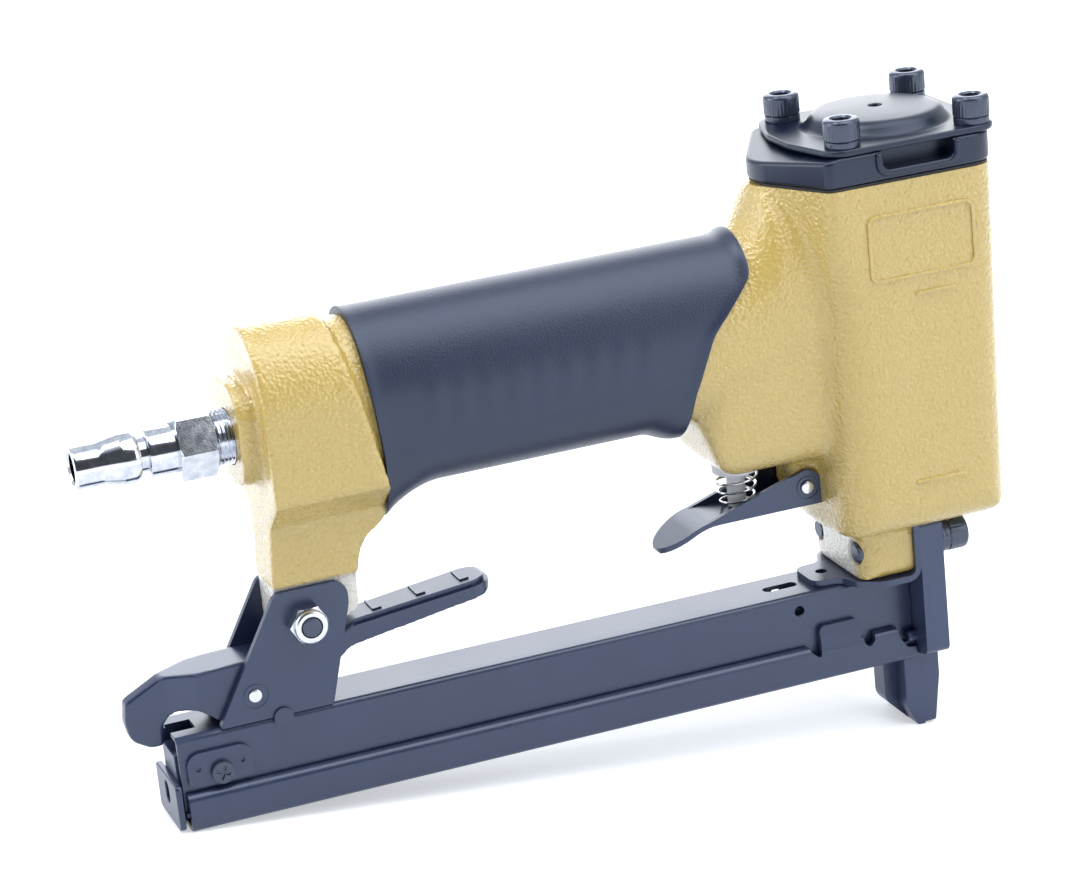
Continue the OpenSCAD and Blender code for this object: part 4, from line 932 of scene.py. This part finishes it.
# %% Press the cover
cover_z = box_mm("exhaust_cover")[0].z
cover_top, dome_h, dome_r, vent_r = cover_z + 1.6, 3.8, 17.4, 1.5
screw_x, screw_y = 16.3, 16.4
plate_x, plate_y = screw_x + 4.75, screw_y + 4.75
plate = rounded(mirrored([(plate_x, plate_y, 5), (-plate_x, plate_y, 5), (-plate_x - 4, 6, 12)]), 8)
cover = bevelled(drawn("exhaust_cover_pressing", plate, "z", cover_z, cover_top), 0.5, 3, 50)
cut(cover, rod("dome_hole", dome_r - 1.5, cover_z - 1, cover_top + 1))
outside = [(dome_r + 0.6, 0), (dome_r + 0.1, 0.06), (dome_r - 0.5, 0.3), (dome_r - 1.1, 0.85),
           (dome_r - 1.7, 1.75), (dome_r - 2.3, 2.5), (dome_r - 3.1, 3.0), (dome_r - 4.2, 3.3), (9, 3.6),
           (5, 3.74), (2.2, dome_h), (1.7, dome_h - 0.1), (vent_r, dome_h - 0.35)]
inside = [(vent_r, dome_h - 1.3), (9, dome_h - 1.5), (dome_r - 5, dome_h - 1.9), (dome_r - 3, 0.4),
          (dome_r - 2, -1.2), (dome_r + 0.6, -1.2)]
fuse(cover, spun("dome", [(r, cover_top + h) for r, h in outside + inside], 96))
done(cover, cap_black, "cap_black", "exhaust_cover", smooth=40)

# %% [markdown]
# ## Socket screws and washers
# The heads are knurled round their side, rounded on top, and have a hexagon socket. One screw is modelled
# standing on the origin, every other column of its side is pressed in, and it is copied to its places.


# %% Model a socket screw and a split washer
def hexagon(corner_r):
    return circle(corner_r, count=6)


def socket_screw(name, shank):
    """A screw whose head stands on the origin, with a shank of a length below it."""
    r, high, stem, columns, pressed = 4.25, 5.0, 2.5, 72, 0.1
    profile = [(0, -shank), (stem - 0.5, -shank), (stem, -shank + 0.5), (stem, 0), (r - 0.3, 0), (r, 0.3),
               (r, 1.2), (r, 2.2), (r, high - 0.95), (r - 0.15, high - 0.5), (r - 0.45, high - 0.18),
               (r - 0.95, high), (0, high)]
    screw = spun(name, profile, columns)
    for vertex in screw.data.vertices:
        column = round(math.degrees(math.atan2(vertex.co.y, vertex.co.x)) * columns / 360)
        if vertex.co.z > 0.1 and vertex.co.xy.length > r - 0.05 and column % 2:
            vertex.co.xy *= (r - pressed) / r
    cut(screw, spun("mouth", [(0, high - 0.4), (2.25, high - 0.4), (2.8, high + 0.2), (0, high + 0.2)]))
    pierce(screw, "socket", hexagon(2.3), "z", high - 2.6, high + 1)
    return screw


def split_washer(name, thick):
    """A flat ring with a gap, standing on the origin."""
    gap = math.radians(7)
    turns = [gap + (2 * math.pi - 2 * gap) * k / 40 for k in range(41)]
    outline = [(4.15 * math.cos(a), 4.15 * math.sin(a)) for a in turns]
    outline += [(2.7 * math.cos(a), 2.7 * math.sin(a)) for a in reversed(turns)]
    return bevelled(drawn(name, outline, "z", 0, thick), 0.18, 2, 40)


# %% Set the screws and washers
cap_spots = [(sx * screw_x, sy * screw_y) for sx in (-1, 1) for sy in (-1, 1)]
screw_z = box_mm("cap_lock_washers")[1].z
places = [at(x, y, screw_z) @ Matrix.Rotation(0.6 * k, 4, "Z") for k, (x, y) in enumerate(cap_spots)]
cap_screws = copies("cap_screws_knurled", socket_screw("screw", 23.7), places)
done(cap_screws, screw_black, "screw_black", "cap_screws")
places = [at(x, y, cover_top) @ Matrix.Rotation(0.9 + k, 4, "Z") for k, (x, y) in enumerate(cap_spots)]
cap_washers = copies("cap_washers_split", split_washer("washer", screw_z - cover_top), places)
done(cap_washers, screw_black, "screw_black", "cap_lock_washers")

lie = turned(90, "Y")
plate_front = box_mm("front_plate")[1].x
for name, model, nodes, x in (
        ("front_screws_knurled", socket_screw("screw", 23.4), "front_screws", plate_front + 2.5),
        ("front_washers_split", split_washer("washer", 1.5), "front_lock_washers", plate_front + 1),
        ("front_washers_plain", bevelled(spun("flat", oblong(2.7, 4.55, 0, 1)), 0.15), "front_washers",
         plate_front)):
    places = [at(x, y, z) @ lie for y, z in front_spots]
    done(copies(name, model, places), screw_black, "screw_black", nodes)

# %% [markdown]
# ## The air plug
# The chromed plug is turned from hexagon bar. Its profile is spun, with rings for the thread, and the
# chamfered hexagon is fused on.

# %% Turn the air plug
thread = [(6.45 if k % 2 else 5.85, -3.6 + 0.45 * k) for k in range(8)]
profile = [(3.5, -11.4), (5.9, -11.4), (6.3, -10.8), (6.3, -4.0)] + thread + [
    (5.8, 0.1), (5.8, 8.4), (5.6, 8.5), (5.6, 14.3), (5.4, 14.8), (4.9, 14.95), (4.1, 15.1), (4.1, 16.6),
    (5.1, 16.8), (5.5, 17.0), (5.9, 17.7), (6.0, 18.2), (6.0, 20.5), (5.9, 21.0), (5.2, 24.4), (5.02, 25.3),
    (5.0, 26), (5.0, 30.9), (4.85, 31.4), (4.5, 31.6), (3.9, 31.6), (3.5, 31.1)]
plug = spun("air_plug_turned", profile, 96)
across_flats, hex_long = 14, 8.5
plug_hex = drawn("hex", [(v, u) for u, v in hexagon(across_flats / math.sqrt(3))], "z", 0, hex_long)
chamfer = [(0, 0), (7.2, 0), (8.3, 0.65), (8.3, hex_long - 0.65), (7.2, hex_long), (0, hex_long)]
combine(plug_hex, spun("chamfer", chamfer), "INTERSECT")
cut(plug_hex, rod("core", 4.5, -1, 10))
fuse(plug, bevelled(plug_hex, 0.15, 2, 20))
moved(plug, at(boss_rear - 4.1, 0, plug_z) @ turned(-90, "Y"))
done(plug, chrome, "chrome", "air_plug", smooth=30)

# %% [markdown]
# ## Springs
# Each spring is one round wire. A circle is swept by the Screw modifier, and its open ends are filled. Three
# of them then get a mesh of their own.


# %% Wind the springs
def coil(name, radius, wire, length, turns, steps=20, sides=10):
    """A wire round the Z axis, from the origin upwards."""
    bpy.ops.object.select_all(action="DESELECT")
    bpy.ops.mesh.primitive_circle_add(vertices=sides, radius=wire / 2, location=(radius, 0, 0),
                                      rotation=(math.pi / 2, 0, 0))
    piece = bpy.context.object
    piece.name = name
    bpy.ops.object.transform_apply(location=True, rotation=True, scale=True)
    count = round(steps * turns)
    modify(piece, "SCREW", axis="Z", angle=2 * math.pi * turns, screw_offset=length,
           steps=count, render_steps=count)
    edit(piece)
    bpy.ops.mesh.select_all(action="DESELECT")
    bpy.ops.mesh.select_non_manifold()
    bpy.ops.mesh.fill_holes(sides=0)
    bpy.ops.mesh.select_all(action="SELECT")
    bpy.ops.mesh.normals_make_consistent(inside=False)
    leave()
    return piece


spring_low, spring_high = box_mm("trigger_spring")
wire = 0.7
tall = spring_high.z - spring_low.z - wire
trigger_spring = coil("trigger_spring_wire", 4.4, wire, tall, 3.25, 28)
for vertex in trigger_spring.data.vertices:
    reach = vertex.co.xy.length
    grow = -0.7 + 1.6 * min(max(vertex.co.z / tall, 0), 1)
    vertex.co.xy *= (reach + grow) / reach
moved(trigger_spring, at(stem_x, 0, spring_low.z + wire / 2))
done(trigger_spring, bright_steel, "bright_steel", "trigger_spring", flat=False)
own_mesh(trigger_spring)

spring_low, spring_high = box_mm("head_valve_spring")
wire = 1.3
tall = spring_high.z - spring_low.z - wire
valve_spring = coil("head_valve_spring_wire", 8, wire, tall, 4)
moved(valve_spring, at(0, 0, spring_low.z + wire / 2))
done(valve_spring, bright_steel, "bright_steel", "head_valve_spring", flat=False)
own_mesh(valve_spring)

spring_low, spring_high = box_mm("pusher_spring")
wire, travel = 0.5, 130
rod_z = (spring_low.z + spring_high.z) / 2
span = spring_high.x - spring_low.x
pusher_spring = coil("pusher_spring_wire", 2.35, wire, span - wire, 36, 14, 6)
moved(pusher_spring, at(spring_low.x + wire / 2, 0, rod_z) @ lie)
done(pusher_spring, bright_steel, "bright_steel", "pusher_spring", flat=False)
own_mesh(pusher_spring)

spring_low, spring_high = box_mm("latch_spring")
wire = 0.6
latch_x, latch_z = (spring_low.x + spring_high.x) / 2, (spring_low.z + spring_high.z) / 2
span = spring_high.y - spring_low.y
latch_spring = coil("latch_spring_wire", 2.15, wire, span - wire, 7, 16, 8)
moved(latch_spring, at(latch_x, spring_low.y + wire / 2, latch_z) @ turned(-90, "X"))
done(latch_spring, bright_steel, "bright_steel", "latch_spring", flat=False)

# %% [markdown]
# ## Pins, nut and bolt
# The bright pins have chamfered ends, so their profile is spun. The self-locking nut is a chamfered hexagon
# with a round collar, and the end of the dark bolt shows in it.


# %% Turn the pins
def turned_pin(node, axis, edge):
    """A bright pin with chamfered ends in the place of its solid."""
    low, high = box_mm(node)
    along = {"x": 0, "y": 1}[axis]
    r, length = (high.z - low.z) / 2, high[along] - low[along]
    profile = [(0, 0), (r - edge, 0), (r - edge * 0.3, edge * 0.3), (r, edge), (r, length - edge),
               (r - edge * 0.3, length - edge * 0.3), (r - edge, length), (0, length)]
    place = (low + high) / 2
    place[along] = low[along]
    turn = lie if axis == "x" else turned(-90, "X")
    pin = moved(spun(node + "_turned", profile, 40), Matrix.Translation(place) @ turn)
    done(pin, bright_steel, "bright_steel", node, smooth=25)


turned_pin("trigger_pin", "y", 0.35)
turned_pin("latch_pin", "y", 0.35)
turned_pin("guide_rod", "x", 0.4)

# %% Make the nut and the bolt
bracket_half = 7.6
face_near = turned(90, "X")
nut = drawn("bracket_nut_locking", hexagon(4.62), "z", 0, 3.4)
chamfer = [(0, 0), (4.2, 0), (4.75, 0.35), (4.75, 2.75), (4.1, 3.4), (0, 3.4)]
combine(nut, spun("chamfer", chamfer), "INTERSECT")
fuse(nut, spun("collar", [(0, 2), (3.9, 2), (3.9, 4.2), (3.7, 4.6), (3.3, 4.8), (0, 4.8)]))
cut(nut, rod("nut_bore", 2.55, -1, 6))
bevelled(nut, 0.12, 2, 25)
moved(nut, at(bolt_x, -bracket_half, bolt_z) @ face_near)
done(nut, bright_steel, "bright_steel", "bracket_nut")

shank = [(0, -8.1), (2.5, -8.1), (2.5, 12.0), (2.2, 12.5), (1.9, 12.6), (0, 12.6)]
bolt = spun("bracket_bolt_hex", shank, 40)
head_end = -11.1
bolt_head = drawn("bolt_head", hexagon(4.6), "z", head_end, -bracket_half)
chamfer = [(0, head_end), (4.0, head_end), (4.7, head_end + 0.5), (4.7, -bracket_half), (0, -bracket_half)]
combine(bolt_head, spun("chamfer", chamfer), "INTERSECT")
fuse(bolt, bolt_head)
moved(bolt, at(bolt_x, 0, bolt_z) @ face_near)
done(bolt, screw_black, "screw_black", "bracket_bolt")

# %% [markdown]
# ## Folded sheet parts
# The slide, the bracket under the neck, the lever and the trigger are bent from sheet. Folding flat sheet
# face by face would be slow, so each is drawn as a section or a side view and trimmed by a second view. Its
# edges are rounded at the end, so that they catch the light.


# %% Fold the magazine slide
def folded(points):
    """A section (y, z) and its mirror image, with rounded corners."""
    return rounded(points + [(-p[0], *p[1:]) for p in reversed(points)])


slide_low, slide_high = box_mm("magazine_slide")
outer, tab_top, sheet, lip_in, lip_top = slide_high.y, slide_high.z, 1.2, 8.0, 26.9
tab_x, tab_half = -22.86, 5.2
slide = drawn("magazine_slide_folded", folded([
    (outer - sheet, slide_low.z + sheet), (outer - sheet, lip_top - sheet, 0.7), (lip_in, lip_top - sheet),
    (lip_in, lip_top), (outer, lip_top, 1.9), (outer, slide_low.z, 1.4)]), "x", slide_low.x, slide_high.x)
tab_section = [(lip_in, 24.6), (7.65, tab_top), (7.65 + sheet, tab_top), (lip_in + 1.45, 28.2),
               (lip_in + 1.62, 27.0), (lip_in + 1.8, 26.0), (outer - 0.02, 24.6)]
tab_view = oblong(tab_x - tab_half, tab_x + tab_half, 20, tab_top, 0, 1.5)
above = 29
notches = {
    "rear_notch": [(tab_x - 8.8, above), (tab_x - 8.0, 25.9, 0.8), (tab_x - 5.5, 23.6, 0.5),
                   (tab_x - 5.2, above)],
    "front_notch": [(tab_x + 5.2, above), (tab_x + 6, 24.9, 1), (tab_x + 7.3, 23.6, 0.8),
                    (tab_x + 8.6, 25.2, 0.8), (tab_x + 9.2, above)],
    "front_step": [(-8.4, above), (-7.9, 24.6, 2.5), (-5.8, 21.4, 1.6), (0, 21.1), (0, above)]}
for side in (-1, 1):
    tab = drawn("tab", [(side * y, z) for y, z in tab_section], "x", tab_x - 7, tab_x + 7)
    fuse(slide, trim(tab, "tab_view", tab_view, "y"))
    low, high = sorted((side * (lip_in - 1), side * (outer + 1)))
    for name, outline in notches.items():
        pierce(slide, name, rounded(outline), "y", low, high)
tidy(slide, 0.5, 0.02)
done(bevelled(slide, 0.22, 2, 40), sheet_black, "sheet_black", "magazine_slide")

# %% Fold the bracket under the neck
channel_top, guide_x, plate_top, bracket_rear = 40.0, -3.16, 53.6, -30
bracket = drawn("front_bracket_folded", rounded([
    (bracket_rear, channel_top), (guide_x, channel_top, 3.6), (guide_x, plate_top), (neck_front, plate_top),
    (neck_front, neck_z, 1.6), (bracket_rear, neck_z)]), "y", -wide, wide)
bracket_plan = [(0, 15.2), (-13, 15.2, 5), (-18.4, 11.5, 4), (-20.6, 6.2, 2.5), (-27.2, 5.6, 2.5)]
trim(bracket, "bracket_plan", rounded(mirrored(bracket_plan)), "z", 30, 60)
pierce(bracket, "ear_hole", circle(1.4, -22.56, 0, 28), "z", 30, 60)
for y, z in front_spots:
    pierce(bracket, "screw_hole", circle(2.7, y, z, 32), "x", -10, 0)
tidy(bracket, 0.5, 0.02)
done(bevelled(bracket, 0.3, 2, 40), sheet_black, "sheet_black", "front_bracket")

# %% [markdown]
# The latch lever is a hollow pressing: a long arm with a stepped rim and three ribs for the thumb, a hood
# over the pin, and a flat tail that ends in the hook. A remesh rounds the drawn shape all over, as deep
# drawing does. Its inside is the same shape, one sheet lower and narrower.

# %% Press the latch lever
latch_low, latch_high = box_mm("latch_pin")
pin_low = (latch_low + latch_high) / 2
lever_wide = 9
lever_view = rounded([
    (-105.9, 61.2, 1.5), (-139.5, 57.5, 4), (-146.5, 53.7, 3), (-167, 53.9, 6), (-185, 53.2, 5),
    (-193.6, 48.8, 1.2), (-194.2, 44, 4), (-193.4, 39.5, 4), (-189, 36.9, 3), (-186, 36.9, 0.8),
    (-185.7, 45.2, 5), (-177.8, 44.6, 4), (-173.5, 41.2, 1), (-169.5, 42.6, 2), (-160.3, 43.2, 3),
    (-146.5, 47.5, 4), (-141.5, 51.4, 5), (-112, 56.2, 6), (-106.5, 57, 1.5)])
lever_plan = [(-105.9, 5.9, 5.5), (-139.5, 4.9, 6), (-147.5, 5.7, 6), (-177.6, 5.7, 3), (-184.6, 2.0, 5),
              (-196, 1.8)]
hollow_plan = [(-107.3, 4.5, 4), (-139.5, 3.5, 6), (-147.5, 4.3, 6), (-177, 4.3, 3), (-182.5, 1.2, 0.8)]
lever = drawn("latch_lever_pressed", lever_view, "y", -lever_wide, lever_wide)
trim(lever, "lever_plan", rounded(mirrored(lever_plan), 10), "z", 30, 70)
modify(lever, "REMESH", mode="VOXEL", voxel_size=0.4)
modify(lever, "SMOOTH", factor=0.5, iterations=6)
hollow = moved(drawn("hollow", lever_view, "y", -lever_wide, lever_wide), at(0, 0, -1.4))
cut(lever, trim(hollow, "hollow_plan", rounded(mirrored(hollow_plan), 10), "z", 20, 70))
print("lever:", len(lever.data.polygons), "faces before its rim and ribs")


# %% Step the lever's rim and raise its ribs
def arm_top(x):
    """The height of the arm's upper face."""
    return 57.5 + (x + 139.5) * 3.7 / 33.6


rim_step, arm_rear, arm_front = 1.2, -140, -100
ledge = [(arm_rear, arm_top(arm_rear) - rim_step), (arm_front, arm_top(arm_front) - rim_step),
         (arm_front, 66), (arm_rear, 66)]
crest = rounded(mirrored([(-107, 4.8, 4.4), (-139.5, 3.8, 6), (-148, 4.6)]), 10)
cut(lever, pierce(drawn("ledge", ledge, "y", -lever_wide, lever_wide), "crest", crest, "z", 30, 70))
for x in (-134.3, -123.6, -113.0):
    z, foot_z = arm_top(x), arm_top(x + 1.9)
    fuse(lever, drawn("rib", oblong(x - 0.3, x + 0.3, z - 0.5, z + 0.4), "y", -2.6, 3.6))
    foot = [(x - 0.2, z - 0.5), (x + 1.9, foot_z - 0.5), (x + 1.9, foot_z + 0.38), (x - 0.2, z + 0.38)]
    fuse(lever, drawn("foot", foot, "y", -2.7, -2.1))
pierce(lever, "pin_hole", circle(1.75, pin_low.x, pin_low.z, 24), "y", -lever_wide, lever_wide)
done(lever, sheet_black, "sheet_black", "latch_lever", flat=False)

# %% [markdown]
# The trigger keeps its packed blade, with its tip trimmed round. Its cheeks get a higher round eye for the
# pin, with a pressed ring.


# %% Raise the trigger's eye and round its tip
def press_ring(piece, x, z, face_y, inner_r):
    """Presses a round groove into the face of a cheek."""
    ring = spun("ring", oblong(inner_r, inner_r + 0.5, -0.2, 0.5))
    outwards = -90 if face_y > 0 else 90
    cut(piece, moved(ring, at(x, face_y, z) @ turned(outwards, "X")))


trigger = copy_of("trigger", "trigger_pressed")
cheek_y = box_mm("trigger")[1].y
eye_view = rounded([(pin_x + 3.8, 61.6, 0.8), (pin_x + 3.7, pin_z + 2.2, 3), (pin_x + 0.8, pin_z + 4.5, 3.4),
                    (pin_x - 5, pin_z + 2.6, 4), (pin_x - 14, 64.8), (pin_x - 14, 61.6)])
for side in (-1, 1):
    low, high = sorted((side * (cheek_y - 1.2), side * cheek_y))
    eye_plate = drawn("eye", eye_view, "y", low, high)
    fuse(trigger, pierce(eye_plate, "pin_hole", circle(1.75, pin_x, pin_z, 32), "y"))
    press_ring(trigger, pin_x, pin_z, side * cheek_y, 2.5)
tip_x, tip_long, tip_half = -56, 8.3, 6.75
turns = [math.radians(90 * k / 16) for k in range(16)]
tip = [(0, 7.5), (-54, 7.5)] + [(tip_x - tip_long * math.sin(a), tip_half * math.cos(a)) for a in turns]
tip_plan = tip + [(tip_x - tip_long, 0)] + [(x, -y) for x, y in reversed(tip)]
trim(trigger, "tip", tip_plan, "z", 40, 90)
tidy(trigger, 0.5, 0.02)
done(bevelled(trigger, 0.25, 2, 35), sheet_black, "sheet_black", "trigger")

# %% [markdown]
# ## Pressed and machined parts
# These solids already have nearly their shape. Their edges are still sharp, and light shows on an edge only
# where it is rounded. Each is copied, its triangles are merged into faces, and a bevel rounds it. The
# channel, the valve's housing and the rear bracket get a small cut first.


# %% Cut the channel, the housing and the bracket
def open_channel(piece):
    """Rounds the channel's two upper edges and cuts the slot in its roof."""
    roof = box_mm("magazine_channel")[1].z
    round_edges(piece, lambda p: p.z > roof - 0.01 and abs(p.y) > 7.3, 1.3)
    slot_front, slot_long, slot_half, end_r = -29.3, 8.6, 1.5, 1.4
    slot = mirrored([(slot_front, slot_half, end_r), (slot_front - slot_long, slot_half, end_r)])
    pierce(piece, "slot", rounded(slot), "z", roof - 3, roof + 1)


def narrow_housing(piece):
    """Turns the valve's housing down where it passes the narrow end of its hole."""
    sleeve_view = spun("sleeve", [(0, 60), (5.5, 60), (5.5, 78.2), (9, 78.2), (9, 140), (0, 140)])
    combine(piece, moved(sleeve_view, at(stem_x, 0, 0)), "INTERSECT")


def ring_bracket(piece):
    """Presses a ring round the latch pin into both cheeks of the rear bracket."""
    for side in (-1, 1):
        press_ring(piece, pin_low.x, pin_low.z, side * bracket_half, 2.6)


first_cuts = {"magazine_channel": open_channel, "valve_housing": narrow_housing, "rear_bracket": ring_bracket}
print("cut before rounding:", ", ".join(first_cuts))

# %% Round the pressed and machined parts
for node, surface, slot, width in (
        ("front_plate", nose_black, "nose_black", 0.4),
        ("nose_guide", nose_black, "nose_black", 0.3),
        ("locating_pins", nose_black, "nose_black", 0.3),
        ("slide_end_plate", sheet_black, "sheet_black", 0.3),
        ("side_plates", sheet_black, "sheet_black", 0.32),
        ("side_plate_screws", screw_black, "screw_black", 0.15),
        ("rear_bracket", sheet_black, "sheet_black", 0.3),
        ("valve_housing", valve_plastic, "valve_plastic", 0.3),
        ("valve_stem", valve_plastic, "valve_plastic", 0.25),
        ("staple_rail", nose_black, "nose_black", 0.2),
        ("pusher", inner_alloy, "inner_alloy", 0.2),
        ("magazine_channel", sheet_black, "sheet_black", 0.2)):
    piece = copy_of(node, node + "_rounded")
    if node in first_cuts:
        first_cuts[node](piece)
    done(bevelled(piece, width, 2, 25), surface, slot, node)

# %% [markdown]
# ## Hidden pieces
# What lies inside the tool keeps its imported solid, because at most its colour shows through a gap.

# %% Paint the hidden pieces
for surface, hidden in (
        (inner_alloy, ("cylinder_sleeve", "head_valve", "piston")),
        (bright_steel, ("driver_blade", "driver_pin")),
        (bumper_rubber, ("bumper",)),
        (seal_rubber, ("cap_gasket", "sleeve_o_rings", "head_valve_o_ring", "piston_o_ring", "stem_o_ring"))):
    for node in hidden:
        solid = frame["nodes"][node].data
        solid.materials.clear()
        solid.materials.append(surface)
    print(surface.name, "on", ", ".join(hidden))

# %% [markdown]
# ## Size
# The box of everything that renders, the floor left out, is printed in millimetres. The dressed
# model has to stay close to the imported model's box.

# %% Print the visual box
low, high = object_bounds()
print("visual box in mm:", [round(x / MM, 1) for x in low], [round(x / MM, 1) for x in high])
